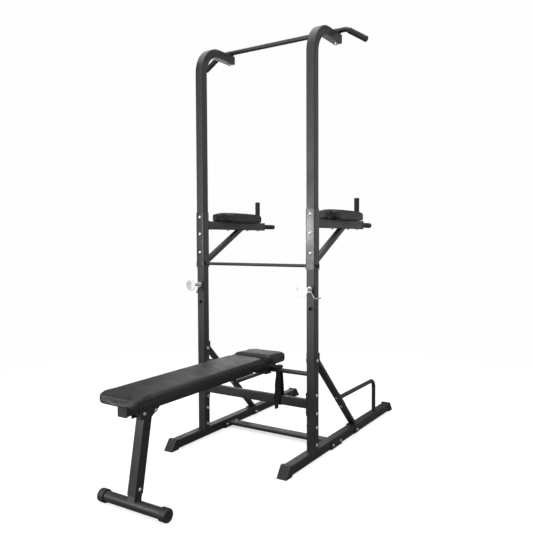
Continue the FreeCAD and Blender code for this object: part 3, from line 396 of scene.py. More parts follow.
def path_frames(points, closed):
    """A side and an up vector at each point, square to the path and without sudden twists."""
    count = len(points)
    tangents = []
    for index in range(count):
        before = points[(index - 1) % count] if closed or index > 0 else points[0]
        after = points[(index + 1) % count] if closed or index < count - 1 else points[-1]
        tangents.append((after - before).normalized())
    side = tangents[0].orthogonal().normalized()
    frames = []
    for tangent in tangents:
        side = (side - tangent * side.dot(tangent)).normalized()
        frames.append((side, tangent.cross(side)))
    return frames


def circle(centre, side, up, radius, count):
    """Points evenly round a circle, from side towards up."""
    points = []
    for step in range(count):
        angle = 2 * math.pi * step / count
        points.append(centre + side * (radius * math.cos(angle)) + up * (radius * math.sin(angle)))
    return points


def skin(rings, closed=False):
    """Vertices and faces of a shell through rings of points. It is capped at both ends, unless its
    last ring joins its first."""
    count = len(rings[0])
    faces = [] if closed else [tuple(range(count))[::-1]]
    for index in range(len(rings) if closed else len(rings) - 1):
        low = index * count
        high = (index + 1) % len(rings) * count
        for step in range(count):
            turn = (step + 1) % count
            faces.append((low + step, low + turn, high + turn, high + step))
    if not closed:
        faces.append(tuple(range((len(rings) - 1) * count, len(rings) * count)))
    return [point for ring in rings for point in ring], faces


def tube_shape(points, radius_at, sides, closed=False):
    """A round bar along points. radius_at takes 0..1, the place along the bar."""
    rings = []
    for index, (side, up) in enumerate(path_frames(points, closed)):
        radius = radius_at(index / (len(points) - 1))
        rings.append(circle(points[index], side, up, radius, sides))
    return skin(rings, closed)


def thread_shape(points, radius, sides=5):
    """A thin bar of one thickness, such as a stitch or a staple."""
    return tube_shape(points, lambda place: radius, sides)


def lathe_shape(start, axis, profile, sides):
    """A turned shape. profile holds (distance along the axis, radius)."""
    side = axis.orthogonal().normalized()
    up = axis.cross(side)
    return skin([circle(start + axis * distance, side, up, radius, sides) for distance, radius in profile])


def rounded_outline(corners, spacing):
    """A closed outline from (x, y, radius) corners: straight runs joined by tangent arcs."""
    count = len(corners)
    stations = []
    for index in range(count):
        corner = Vector(corners[index][:2])
        back = (Vector(corners[index - 1][:2]) - corner).normalized()
        ahead = (Vector(corners[(index + 1) % count][:2]) - corner).normalized()
        half = back.angle(ahead) / 2
        radius = corners[index][2]
        setback = radius / math.tan(half)
        centre = corner + (back + ahead).normalized() * (radius / math.sin(half))
        start = corner + back * setback - centre
        sweep = (math.pi - 2 * half) * (1 if back.cross(ahead) < 0 else -1)
        steps = max(3, math.ceil(abs(sweep) * radius / spacing))
        for step in range(steps + 1):
            angle = sweep * step / steps
            turned = Vector((start.x * math.cos(angle) - start.y * math.sin(angle),
                             start.x * math.sin(angle) + start.y * math.cos(angle)))
            stations.append(centre + turned)
    outline = []
    for index, point in enumerate(stations):
        following = stations[(index + 1) % len(stations)]
        gap = (following - point).length
        steps = max(1, round(gap / spacing))
        for step in range(steps):
            if gap > 1e-7:
                outline.append(point.lerp(following, step / steps))
    return outline


def inset_outline(outline, distance):
    """The same outline moved inwards (the outline runs anticlockwise)."""
    moved = []
    for index, point in enumerate(outline):
        along = (outline[(index + 1) % len(outline)] - outline[index - 1]).normalized()
        moved.append(point + Vector((-along.y, along.x)) * distance)
    return moved


def surface_of(made):
    """A piece's mesh, ready for rays to be cast at it."""
    mesh = made.data
    return BVHTree.FromPolygons([v.co for v in mesh.vertices], [tuple(p.vertices) for p in mesh.polygons])


def apply_modifier(made, modifier):
    """Gives an object the mesh that its one modifier makes."""
    graph = bpy.context.evaluated_depsgraph_get()
    graph.update()
    fresh = bpy.data.meshes.new_from_object(made.evaluated_get(graph))
    made.modifiers.remove(modifier)
    made.data = fresh


# ---------------- cushions
COVER = 0.0008              # a cushion's sides start this far above the board's underside
SEAM_INSET = 0.010          # the top seam, in from the pad's edge
SEAM_WIDTH = 0.0032
SEAM_DEPTH = 0.0028
GATHER_WIDTH = 0.012        # how far beside the seam the cover is puckered
GATHER_DEPTH = 0.0004
STITCH_INSET = 0.005        # the stitches, in from the seam
PRESSURE = 4.0              # the foam's push on its cover
PUFF_FRAMES = 20
PUFF_LIMIT = 0.005          # the most that the foam may swell


def cushion_blank(outline, bottom, top, tuck, edge):
    """A closed block. Its upper edge is rounded by edge, and its lower edge turns in by tuck, to go
    round the board."""
    height = top - bottom
    levels = [
        (tuck, 0.0),
        (0.60 * tuck, 0.15 * tuck),
        (0.27 * tuck, 0.42 * tuck),
        (0.08 * tuck, 0.75 * tuck),
        (0.0, 1.1 * tuck),
        (0.0, height - edge),
        (0.12 * edge, height - 0.52 * edge),
        (0.42 * edge, height - 0.16 * edge),
        (edge, height),
    ]
    rings = []
    for inset, rise in levels:
        rings.append([(point.x, point.y, bottom + rise) for point in inset_outline(outline, inset)])
    return skin(rings)


def remesh(made, voxel):
    """Replaces an object's mesh by its even voxel remesh."""
    modifier = made.modifiers.new("remesh", "REMESH")
    modifier.mode = "VOXEL"
    modifier.voxel_size = voxel
    apply_modifier(made, modifier)


def puff(made, held_below):
    """Swells a cushion with a short cloth simulation and applies the result.
    The points near its base stay where the cover is stapled to the board."""
    before = [v.co.copy() for v in made.data.vertices]
    held = made.vertex_groups.new(name="stapled")
    held.add([v.index for v in made.data.vertices if v.co.z < held_below], 1.0, "REPLACE")
    cloth = made.modifiers.new("puff", "CLOTH")
    settings = cloth.settings
    settings.use_pressure = True
    settings.uniform_pressure_force = PRESSURE
    settings.effector_weights.gravity = 0.0
    settings.vertex_group_mass = held.name
    settings.quality = 4
    cloth.point_cache.frame_start = 1
    cloth.point_cache.frame_end = PUFF_FRAMES
    scene = bpy.context.scene
    for number in range(1, PUFF_FRAMES + 1):
        scene.frame_set(number)
    graph = bpy.context.evaluated_depsgraph_get()
    after = [v.co.copy() for v in made.evaluated_get(graph).data.vertices]
    made.modifiers.remove(cloth)
    made.vertex_groups.remove(held)
    scene.frame_set(1)
    for vertex, old, new in zip(made.data.vertices, before, after):
        move = new - old
        if move.length > PUFF_LIMIT:
            move = move.normalized() * PUFF_LIMIT
        vertex.co = old + move


def smooth_step(value):
    value = min(max(value, 0.0), 1.0)
    return value * value * (3 - 2 * value)


def sew_seam(made, outline, seam_z, crown, power, middle, half_size):
    """Crowns the top, presses the seam's groove and gathers the cover beside it.
    power sets how flat the crown runs along the pad before it falls to its ends."""
    seam = inset_outline(outline, SEAM_INSET)
    tree = KDTree(len(seam))
    for index, point in enumerate(seam):
        tree.insert((point.x, point.y, 0.0), index)
    tree.balance()
    for vertex in made.data.vertices:
        if vertex.co.z < seam_z:
            continue
        _, index, distance = tree.find((vertex.co.x, vertex.co.y, 0.0))
        across = Vector(((vertex.co.x - middle.x) / half_size.x, (vertex.co.y - middle.y) / half_size.y))
        dome = (1 - min(across.x ** 2, 1)) * (1 - min(abs(across.y) ** power, 1))
        groove = math.exp(-(distance / SEAM_WIDTH) ** 2)
        pucker = math.sin(index * 1.7) * math.sin(index * 0.61 + 1.0)
        gather = math.exp(-(distance / GATHER_WIDTH) ** 2) * pucker
        vertex.co.z += crown * dome - SEAM_DEPTH * groove + GATHER_DEPTH * gather
    made.data.update()


def subdivide(made):
    """One applied subdivision, so that the groove is smooth."""
    modifier = made.modifiers.new("smooth", "SUBSURF")
    modifier.levels = 1
    modifier.render_levels = 1
    apply_modifier(made, modifier)


def cast(surface, places, direction, lift):
    """Points laid on a surface along a direction and lifted back off it, where they meet it."""
    laid = []
    for place in places:
        hit = surface.ray_cast(place, direction)[0]
        if hit is not None:
            laid.append(hit - direction * lift)
    return laid


def drop_onto(made, outline, lift):
    """The outline's points laid on a piece from above, raised by lift."""
    return cast(surface_of(made), [Vector((point.x, point.y, 3.0)) for point in outline], -Z_AXIS, lift)


def add_stitches(name, laid, body):
    """Short thread stitches, one after the other along a closed line."""
    stitches = Batch()
    for index in range(0, len(laid) - 3, 3):
        start = laid[index]
        end = laid[index + 2]
        middle = (start + end) / 2 + Z_AXIS * 0.0004
        stitches.add(*thread_shape([start, middle, end], 0.0003))
    stitches.make(name, THREAD, body)


def make_cushion(name, body, outline, bottom, top, crown, power, tuck, edge, voxel, press=None):
    """One upholstered pad with its seam, welt and stitches. press moves points where a strap bears."""
    vertices, faces = cushion_blank(outline, bottom, top, tuck, edge)
    made = piece(name, vertices, faces, VINYL, body)
    remesh(made, voxel)
    puff(made, bottom + 0.004)
    low = Vector((min(p.x for p in outline), min(p.y for p in outline)))
    high = Vector((max(p.x for p in outline), max(p.y for p in outline)))
    seam_z = bottom + 0.75 * (top - bottom)
    sew_seam(made, outline, seam_z, crown, power, (low + high) / 2, (high - low) / 2)
    if press is not None:
        for vertex in made.data.vertices:
            vertex.co = press(vertex.co)
    subdivide(made)
    for polygon in made.data.polygons:
        polygon.use_smooth = True
    welt = drop_onto(made, inset_outline(outline, SEAM_INSET), 0.0003)
    vertices, faces = tube_shape(welt, lambda place: 0.0011, 8, closed=True)
    piece(name + "_welt", vertices, faces, VINYL, body)
    stitch_line = inset_outline(outline, SEAM_INSET + STITCH_INSET)
    add_stitches(name + "_stitches", drop_onto(made, stitch_line, 0.0001), body)
    return made


STRAP_WIDTH = 0.048
STRAP_THICK = 0.0018
STRAP_MIDDLE_Y = STRAP_LOW.y + STRAP_WIDTH / 2 - 0.017   # where it crosses the middle of the pad
STRAP_SKEW = -0.003         # how far it runs askew by the pad's edge
STRAP_SHIFT = STRAP_HIGH.y - STRAP_LOW.y - STRAP_WIDTH   # how far back it slants down the pad's side
STRAP_DROP = STRAP_HIGH.z - STRAP_LOW.z
STRAP_TURN_X = 0.100        # beyond this it turns down the pad's side


def strap_centre(x, z):
    """Y of the strap's middle: slightly askew across the pad, then slanting back down its sides."""
    across = STRAP_MIDDLE_Y - STRAP_SKEW * min(max(x / PAD_HIGH.x, -1), 1)
    fall = max(PAD_HIGH.z - 0.004 - z, 0) if abs(x) > STRAP_TURN_X else 0
    return across + STRAP_SHIFT * fall / STRAP_DROP


def press_strap(co):
    """Pulls the bench cushion in under the tightened strap and swells it behind the strap."""
    offset = co.y - strap_centre(co.x, co.z)
    bite = 1 - smooth_step((abs(offset) - 0.020) / 0.022)
    behind = smooth_step((offset - 0.024) / 0.022) * (1 - 0.5 * smooth_step((offset - 0.07) / 0.05))
    edge = smooth_step((abs(co.x) - 0.085) / 0.035)
    upper = smooth_step((co.z - BOARD_HIGH.z - 0.012) / 0.02)
    lift = (0.0060 * behind - (0.0030 + 0.0010 * edge) * bite) * upper
    inward = 0.0070 * bite * edge * (1 if co.x < 0 else -1)
    return Vector((co.x + inward, co.y, co.z + lift))


PAD_CORNER = 0.046          # radius of the bench pad's corners


def bench_corners(inset):
    """The bench pad's outline as corners, anticlockwise."""
    x = PAD_HIGH.x - inset
    front = PAD_LOW.y + inset
    rear = PAD_HIGH.y - inset
    radius = PAD_CORNER - inset
    return [(-x, front, radius), (x, front, radius), (x, rear, radius), (-x, rear, radius)]


def arm_pad_corners(low, high, inset):
    """An arm pad's outline: a narrow elbow end, a step, then the full width."""
    middle = (low.x + high.x) / 2
    full = (high.x - low.x) / 2 - inset
    elbow = 0.034 - inset
    start = low.y + inset
    step = low.y + 0.076 + inset
    end = high.y - inset
    return [
        (middle - elbow, start, 0.014), (middle + elbow, start, 0.014),
        (middle + elbow, step, 0.010), (middle + full, step, 0.022),
        (middle + full, end, 0.034), (middle - full, end, 0.034),
        (middle - full, step, 0.022), (middle - elbow, step, 0.010),
    ]


def make_cushions():
    """The three pads, in place of their plain CAD blocks. Returns the bench's."""
    outline = rounded_outline(bench_corners(0.001), 0.004)
    bench = make_cushion("bench_cushion", "bench", outline, BOARD_LOW.z + COVER, PAD_HIGH.z - 0.002,
                         crown=0.007, power=10, tuck=0.013, edge=0.010, voxel=0.0045, press=press_strap)
    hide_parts("bench_pad")
    for side, _ in SIDES:
        low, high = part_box("arm_pad_" + side)
        board_low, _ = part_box("arm_pad_board_" + side)
        outline = rounded_outline(arm_pad_corners(low, high, 0.0015), 0.003)
        made = make_cushion("arm_cushion_" + side, "tower", outline, board_low.z + COVER, high.z - 0.008,
                            crown=0.008, power=3, tuck=0.008, edge=0.009, voxel=0.0035)
        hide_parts("arm_pad_" + side)
    return bench


# ---------------- strap, lashing and buckle
ACROSS = [step / 4 - 1 for step in range(9)]   # places across a band, from -1 to 1
FREE_ROWS = 8               # rows of the strap off the pad at each end, which have no stitches
LASH_MIDDLE_X = (LASH_LOW.x + LASH_HIGH.x) / 2
LASH_HALF = (LASH_HIGH.x - LASH_LOW.x) / 2


def ribbon_shape(grid, thickness, closed=False):
    """A flat band from rows of points, each row across the band. Returns its vertices, faces and
    UVs in metres, and its width and length."""
    last = len(grid[0]) - 1
    middle = last // 2
    halfway = grid[len(grid) // 2]
    width = sum((a - b).length for a, b in zip(halfway, halfway[1:]))
    length = 0.0
    rings = []
    uv = []
    for i, row in enumerate(grid):
        before = grid[i - 1] if closed or i > 0 else row
        after = grid[(i + 1) % len(grid)] if closed or i < len(grid) - 1 else row
        if i > 0:
            length += (row[middle] - before[middle]).length
        upper = []
        lower = []
        for j, point in enumerate(row):
            across = row[min(j + 1, last)] - row[max(j - 1, 0)]
            normal = (after[j] - before[j]).cross(across).normalized()
            half = thickness * (0.3 if j in (0, last) else 0.5)
            upper.append(point + normal * half)
            lower.append(point - normal * half)
        rings.append(lower + upper[::-1])
        places = [(width * j / last, length) for j in range(last + 1)]
        uv += places + places[::-1]
    if closed:
        length += (grid[0][middle] - grid[-1][middle]).length
    vertices, faces = skin(rings, closed)
    ring = len(rings[0])
    if not closed:
        # the ends twist with the band, so a row of quads closes each of them instead of one face
        faces = faces[1:-1]
    # quads of the upper layer start one corner on, so that both layers are cut the same way
    faces = [face[1:] + face[:1] if last < face[0] % ring < ring - 1 else face for face in faces]
    if not closed:
        last_ring = len(vertices) - ring
        for j in range(last):
            end = (j, j + 1, ring - 2 - j, ring - 1 - j)
            faces += [end[::-1], tuple(last_ring + corner for corner in end)]
    return vertices, faces, uv, width, length


def make_band(name, body, grid, closed=False):
    """A length of webbing through rows of points."""
    vertices, faces, uv, width, length = ribbon_shape(grid, STRAP_THICK, closed)
    made = piece(name, vertices, faces, WEBBING, body, uv)
    return made


def strap_rows(surface, sign):
    """Rows of points across the strap on one half of the pad, from its middle down one side."""
    rows = []
    for step in range(1, 15):
        x = sign * 0.008 * step
        middle = strap_centre(x, PAD_HIGH.z)
        places = [Vector((x, middle + STRAP_WIDTH / 2 * across, 1.0)) for across in ACROSS]
        rows.append(cast(surface, places, -Z_AXIS, 0.6 * STRAP_THICK))
    for step in range(9):
        z = PAD_HIGH.z - 0.005 - 0.0036 * step
        middle = strap_centre(sign * PAD_HIGH.x, z)
        places = [Vector((sign, middle + 1.25 * STRAP_WIDTH / 2 * across, z)) for across in ACROSS]
        rows.append(cast(surface, places, X_AXIS * -sign, 0.7 * STRAP_THICK))
    return rows


def strap_end(last_row, sign):
    """The free stretch from the pad's side, twisting and narrowing down onto the hook bar."""
    inner = Vector((sign * (LASH_LOW.x + 0.002), POST_LINE_Y - 0.0175, HOOK_Z + 0.006))
    outer = Vector((sign * (LASH_LOW.x + 0.030), POST_LINE_Y - 0.004, HOOK_Z + 0.0185))
    rows = []
    for step in range(1, FREE_ROWS + 1):
        t = step / FREE_ROWS
        hollow = 0.003 * math.sin(math.pi * t)
        row = []
        for place, across in zip(last_row, ACROSS):
            share = (across + 1) / 2
            ripple = 0.0012 * smooth_step(t) * math.sin(3 * math.pi * share)
            point = place.lerp(inner.lerp(outer, share), t)
            row.append(point + Vector((-sign * hollow, ripple, ripple * 0.6)))
        rows.append(row)
    return rows


def make_strap(cushion):
    """The strap over the bench pad. It rides on the bench and ends on the hook bar."""
    surface = surface_of(cushion)
    halves = {}
    for side, sign in SIDES:
        rows = strap_rows(surface, sign)
        halves[side] = rows + strap_end(rows[-1], sign)
    middle = [(left + right) / 2 for left, right in zip(halves["left"][0], halves["right"][0])]
    grid = halves["left"][::-1] + [middle] + halves["right"]
    made = make_band("bench_strap", "bench", grid)
    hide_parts("strap_over_bench")
    add_strap_hems(grid)


def add_strap_hems(grid):
    """Two rows of stitches along the strap's edges, where it lies on the pad."""
    stitches = Batch()
    for column in (1, len(ACROSS) - 2):
        for index in range(FREE_ROWS + 1, len(grid) - FREE_ROWS - 2):
            start = grid[index][column]
            end = start.lerp(grid[index + 1][column], 0.6)
            across = grid[index][column + 1] - grid[index][column - 1]
            normal = across.cross(grid[index + 1][column] - start).normalized()
            outwards = Z_AXIS if abs(start.x) < STRAP_TURN_X else X_AXIS * start.x
            if normal.dot(outwards) < 0:
                normal = -normal
            lift = normal * (0.55 * STRAP_THICK)
            middle = (start + end) / 2 + lift * 1.25
            stitches.add(*thread_shape([start + lift, middle, end + lift], 0.00035))
    stitches.make("strap_stitches", THREAD, "bench")


def loop_line(rise):
    """Points (y, z) once round the hook bar and the seat cross member, rise outside both."""
    half = 0.015 + rise
    crown = HOOK_R + rise
    corner = 0.0025
    points = []
    for step in range(13):
        angle = math.pi * step / 12
        points.append((crown * math.cos(angle), HOOK_Z + crown * math.sin(angle)))
    for step in range(1, 12):
        t = step / 12
        sag = 0.0012 * math.sin(math.pi * t)
        points.append((-crown - (half - crown) * t - sag, HOOK_Z + (SEAT_TOP - HOOK_Z) * t))
    for z in (SEAT_TOP, SEAT_TOP - 0.012, SEAT_TOP - 0.025, SEAT_BOTTOM + 0.012, SEAT_BOTTOM + 0.002):
        points.append((-half, z))
    for step in range(5):
        points.append(((half - corner) * (step / 2 - 1), SEAT_BOTTOM - rise))
    for z in (SEAT_BOTTOM + 0.002, SEAT_BOTTOM + 0.025, SEAT_TOP):
        points.append((half, z))
    for step in range(1, 12):
        t = step / 12
        sag = 0.0015 * math.sin(math.pi * t)
        points.append((half + (crown - half) * t + sag, SEAT_TOP + (HOOK_Z - SEAT_TOP) * t))
    return [(POST_LINE_Y + y, z) for y, z in points]


def make_lashing_loop():
    """Webbing drawn tight round the hook bar and the seat cross member, and gathered at the bar."""
    grid = []
    for index, (y, z) in enumerate(loop_line(0.0016)):
        half = LASH_HALF * (1 - 0.34 * math.exp(-((z - HOOK_Z) / 0.042) ** 2))
        middle = LASH_MIDDLE_X + 0.0016 * math.sin(index * 0.55)
        creased = HOOK_Z - 0.13 < z < HOOK_Z - 0.012
        row = []
        for across in ACROSS:
            crease = 0.0006 * math.sin(across * 5.0 + index * 0.35) if creased else 0
            row.append(Vector((middle + half * across, y + crease, z)))
        grid.append(row)
    made = make_band("lashing_loop", "tower", grid, closed=True)
    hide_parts("strap_lashing")


def make_lashing_tail():
    """The lashing's loose end, which hangs in front of the loop and narrows on its way down."""
    grid = []
    top = HOOK_Z - 0.118
    for step in range(19):
        t = step / 18
        z = top + (LASH_LOW.z + 0.001 - top) * t
        y = POST_LINE_Y - 0.0205 - 0.0022 * math.sin(math.pi * t) - 0.002 * t ** 3
        half = LASH_HALF * (0.92 - 0.30 * smooth_step((t - 0.45) / 0.5))
        middle = LASH_MIDDLE_X - 0.001 - 0.005 * smooth_step(t)
        row = []
        for across in ACROSS:
            curl = 0.0014 * math.sin(across * 3.0 + 4 * t)
            row.append(Vector((middle + half * across, y + curl, z + 0.004 * across * t)))
        grid.append(row)
    make_band("lashing_tail", "tower", grid)


def plate_outline(half_u, half_v, low_radius, high_radius):
    """A rectangle with one radius at its two lower corners and another at its upper ones."""
    corners = [(-half_u, -half_v, low_radius), (half_u, -half_v, low_radius),
               (half_u, half_v, high_radius), (-half_u, half_v, high_radius)]
    return rounded_outline(corners, 0.0012)


def plate_shape(outline, place, u, v, thickness, bevel):
    """A flat plate with bevelled rims, centred on place. outline's points are along u and v."""
    normal = u.cross(v)
    rim = bevel / thickness
    rings = []
    for inset, rise in ((bevel, -0.5), (0, rim - 0.5), (0, 0.5 - rim), (bevel, 0.5)):
        lifted = place + normal * (thickness * rise)
        rings.append([lifted + u * p.x + v * p.y for p in inset_outline(outline, inset)])
    return skin(rings)


def make_buckle():
    """A cam buckle: two cheeks, two cross bars, a roller and the thumb lever over it."""
    low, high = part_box("strap_buckle")
    middle = (low + high) / 2
    half = (high - low) / 2
    span = 2 * half.x
    buckle = Batch()
    cheek = plate_outline(half.y, half.z, 0.003, 0.006)
    for x in (low.x + 0.0012, high.x - 0.0012):
        place = Vector((x, middle.y, middle.z))
        buckle.add(*plate_shape(cheek, place, Y_AXIS, Z_AXIS, 0.0022, 0.0005))
    front_bar = (low.y + 0.0035, low.z + 0.004, 0.0022)
    rear_bar = (high.y - 0.0035, low.z + 0.004, 0.0022)
    roller = (middle.y, middle.z, 0.0045)
    for y, z, radius in (front_bar, rear_bar, roller):
        profile = [(0.0, radius * 0.8), (0.0006, radius), (span - 0.0006, radius), (span, radius * 0.8)]
        buckle.add(*lathe_shape(Vector((low.x, y, z)), X_AXIS, profile, 20))
    lever = plate_outline(half.x - 0.0035, 0.011, 0.003, 0.005)
    place = Vector((middle.x, middle.y + 0.002, high.z - 0.003))
    tilt = math.radians(15)
    slope = Y_AXIS * math.cos(tilt) + Z_AXIS * math.sin(tilt)
    buckle.add(*plate_shape(lever, place, X_AXIS, slope, 0.0018, 0.0005))
    made = buckle.make("cam_buckle", BLACK_STEEL, "tower")
    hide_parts("strap_buckle")


# ---------------- grips
FLARE = 0.0025              # how far a hand grip's collar stands out, and a bar grip's
BAR_FLARE = 0.0004
RING_PITCH = 0.0052         # from one moulded ring of a grip to the next
BAR_END_DROP = math.radians(33)   # how steeply the pull-up bar's ends turn down


def ribbed_profile(length, radius, collar):
    """A rubber grip's profile: a collar, fine rings along it, and a rounded end."""
    profile = [(0.0, radius - 0.003), (0.0, collar - 0.001), (0.001, collar), (0.005, collar)]
    profile.append((0.0062, radius))
    position = 0.009
    while position < length - 0.012:
        for share, depth in ((0.0, 0.0), (0.22, 0.0005), (0.42, 0.0005), (0.62, 0.0)):
            profile.append((position + share * RING_PITCH, radius - depth))
        position += RING_PITCH
    for step in range(7):
        angle = math.pi / 2 * step / 6
        profile.append((length - 0.004 + 0.004 * math.sin(angle), radius - 0.004 + 0.004 * math.cos(angle)))
    profile.append((length, 0.003))
    return profile


def make_grips():
    """Ribbed rubber grips on the knee-raise handles, the dip handles and the pull-up bar."""
    run = math.cos(BAR_END_DROP)
    fall = math.sin(BAR_END_DROP)
    for side, sign in SIDES:
        low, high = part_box("knee_raise_grip_" + side)
        collar = (high.x - low.x) / 2
        add_grip("knee_grip_" + side, "knee_raise_grip_" + side, Z_AXIS, high.z - low.z, collar, FLARE)
        low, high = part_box("dip_grip_" + side)
        collar = (high.x - low.x) / 2
        add_grip("dip_handle_grip_" + side, "dip_grip_" + side, Y_AXIS, high.y - low.y, collar, FLARE)
        low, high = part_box("pull_up_grip_" + side)
        collar = (high.y - low.y) / 2
        along = Vector((sign * run, 0, -fall))
        length = (high.x - low.x - 2 * collar * fall) / run
        add_grip("bar_grip_" + side, "pull_up_grip_" + side, along, length, collar, BAR_FLARE)


def add_grip(name, node, axis, length, collar, flare):
    """A grip in place of its CAD block, centred in the block."""
    low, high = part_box(node)
    start = (low + high) / 2 - axis * (length / 2)
    vertices, faces = lathe_shape(start, axis, ribbed_profile(length, collar - flare, collar), 36)
    made = piece(name, vertices, faces, GRIP, "tower")
    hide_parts(node)


# ---------------- welds and small hardware
BEAD = 0.0024               # radii of a wide, a thin and a fine weld bead
THIN_BEAD = 0.0018
FINE_BEAD = 0.0016
BEAD_LIFT = 0.0008          # a bead's middle, out from the plate that it lies on
BEAD_EDGE = 0.0005          # and out from the edges of the tube that it goes round
SLEEVE_WALL = 0.003
FLANGE = 0.005              # end plates of the seat cross member
SADDLE_PLATE = 0.0035       # end saddles of the floor cross member
FLOOR_TUBE_Z = (0.016, 0.036)
HANDLE_R = 0.0125           # push-up handle rod
BEAM_HALF = 0.025
BEAM_BOTTOM = BOARD_LOW.z - 2 * BEAM_HALF
NUT_CORNER = 0.0095         # only a nut's washer reaches further out than this


def bead(batch, points, closed, radius=BEAD):
    """A weld bead along straight runs between points: a rippled, slightly uneven rope of metal."""
    points = [Vector(p) for p in points]
    if closed:
        points.append(points[0])
    line = []
    for start, end in zip(points, points[1:]):
        steps = max(2, round((end - start).length / 0.0012))
        for step in range(steps):
            line.append(start.lerp(end, step / steps))
    if not closed:
        line.append(points[-1])
    count = len(line)

    def radius_at(t):
        place = t * count
        return radius * (1 + 0.16 * math.sin(place * 1.9) + 0.08 * math.sin(place * 0.37 + 1))

    batch.add(*tube_shape(line, radius_at, sides=7, closed=closed))


def beside(middle, half):
    """Where the beads run at the two edges of a tube of that half width."""
    return middle - half - BEAD_EDGE, middle + half + BEAD_EDGE


def rectangle(axis, at, first, second):
    """Four corners across the X or Y axis, from (low, high) pairs of the other two axes."""
    corners = ((first[0], second[0]), (first[1], second[0]), (first[1], second[1]), (first[0], second[1]))
    if axis == "x":
        return [(at, a, b) for a, b in corners]
    return [(a, at, b) for a, b in corners]


def bead_round(batch, centre, u, v, radius, bead_radius=BEAD):
    """A bead once round a rod."""
    bead(batch, circle(Vector(centre), u, v, radius, 28), True, bead_radius)


def make_tower_welds():
    """Beads where the tower's tubes, plates and rods are joined."""
    welds = Batch()
    inner = POST_X - POST_HALF
    sleeve_y = POST_LINE_Y + POST_HALF + SLEEVE_WALL + 0.0006
    floor_low, floor_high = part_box("floor_cross_member")
    floor_y = (floor_low.y + floor_high.y) / 2 - 0.0035
    for side, sign in SIDES:
        bead_round(welds, (sign * (inner - BEAD_LIFT), POST_LINE_Y, HOOK_Z), Y_AXIS, Z_AXIS, HOOK_R + 0.001)
        x = sign * (inner - FLANGE - BEAD_LIFT)
        seat_z = beside((SEAT_BOTTOM + SEAT_TOP) / 2, (SEAT_TOP - SEAT_BOTTOM) / 2)
        bead(welds, rectangle("x", x, beside(POST_LINE_Y, 0.015), seat_z), True)
        x = sign * (inner - SADDLE_PLATE - BEAD_LIFT)
        floor_z = (FLOOR_TUBE_Z[0] - BEAD_EDGE, FLOOR_TUBE_Z[1] + BEAD_EDGE)
        bead(welds, rectangle("x", x, beside(floor_y, 0.030), floor_z), True, THIN_BEAD)
        arm_low, arm_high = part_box("dip_arm_" + side)
        arm_x = (arm_low.x + arm_high.x) / 2
        arm_z = beside(arm_low.z + 0.025, 0.025)
        bead(welds, rectangle("y", sleeve_y, beside(arm_x, 0.020), arm_z), True)
        brace_low, brace_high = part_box("arm_brace_" + side)
        left, right = beside(arm_x, 0.015)
        for z in (brace_low.z + 0.004, brace_low.z + 0.034):
            bead(welds, [(left, sleeve_y, z), (right, sleeve_y, z)], False, THIN_BEAD)
        for y in (brace_high.y - 0.004, brace_high.y - 0.036):
            z = arm_low.z - 0.0006
            bead(welds, [(left, y, z), (right, y, z)], False, THIN_BEAD)
        handle_low, handle_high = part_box("push_up_handle_" + side)
        foot = (sign * POST_X, handle_high.y - HANDLE_R, handle_low.z + 0.0006)
        bead_round(welds, foot, X_AXIS, Y_AXIS, HANDLE_R + BEAD_LIFT, THIN_BEAD)
    welds.make("tower_weld_beads", POWDER, "tower")


def make_rest_welds():
    """A bead where each barbell rest's rod meets its disc."""
    for side, _ in SIDES:
        low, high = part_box("barbell_rest_" + side)
        collar = Batch()
        centre = ((low.x + high.x) / 2, low.y + 0.0046, (low.z + high.z) / 2)
        bead_round(collar, centre, X_AXIS, Z_AXIS, 0.0096, 0.0014)
        collar.make("rest_weld_" + side, GALVANISED, "rest_" + side)


def make_bench_welds():
    """Beads on the bench's frame: the yoke on the beam, its hook plates, the leg plates and the foot."""
    welds = Batch()
    yoke_low, yoke_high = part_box("bench_yoke")
    beam_y = yoke_low.y - 0.0006
    plate_y = POST_LINE_Y - 0.832
    plate_z = BEAM_BOTTOM - 0.0004
    for sign in (-1, 1):
        x = sign * (BEAM_HALF + BEAD_EDGE)
        bead(welds, [(x, beam_y, BOARD_LOW.z - 0.003), (x, beam_y, BEAM_BOTTOM + 0.008)], False)
        x = sign * (yoke_high.x + 0.0004)
        for y in (yoke_low.y, yoke_high.y):
            bead(welds, [(x, y, yoke_low.z), (x, y, yoke_high.z - 0.004)], False, FINE_BEAD)
        x = sign * 0.0252
        bead(welds, [(x, plate_y - 0.012, plate_z), (x, plate_y - 0.050, plate_z)], False, FINE_BEAD)
    stub = (0, POST_LINE_Y - 0.9655, 0.0562)
    bead_round(welds, stub, X_AXIS * 0.0235, Vector((0, 0.0235, 0.001)), 1.0, 0.002)
    welds.make("bench_weld_beads", POWDER, "bench")


def islands(node):
    """The separate solids of a CAD node, each as its points."""
    mesh = node.data
    parent = list(range(len(mesh.vertices)))

    def root(index):
        while parent[index] != index:
            parent[index] = parent[parent[index]]
            index = parent[index]
        return index

    places = {}
    for vertex in mesh.vertices:
        key = tuple(round(c, 6) for c in vertex.co)
        if key in places:
            parent[root(vertex.index)] = root(places[key])
        else:
            places[key] = vertex.index
    for edge in mesh.edges:
        first, second = edge.vertices
        parent[root(first)] = root(second)
    groups = {}
    for vertex in mesh.vertices:
        groups.setdefault(root(vertex.index), []).append(node.matrix_world @ vertex.co)
    return list(groups.values())


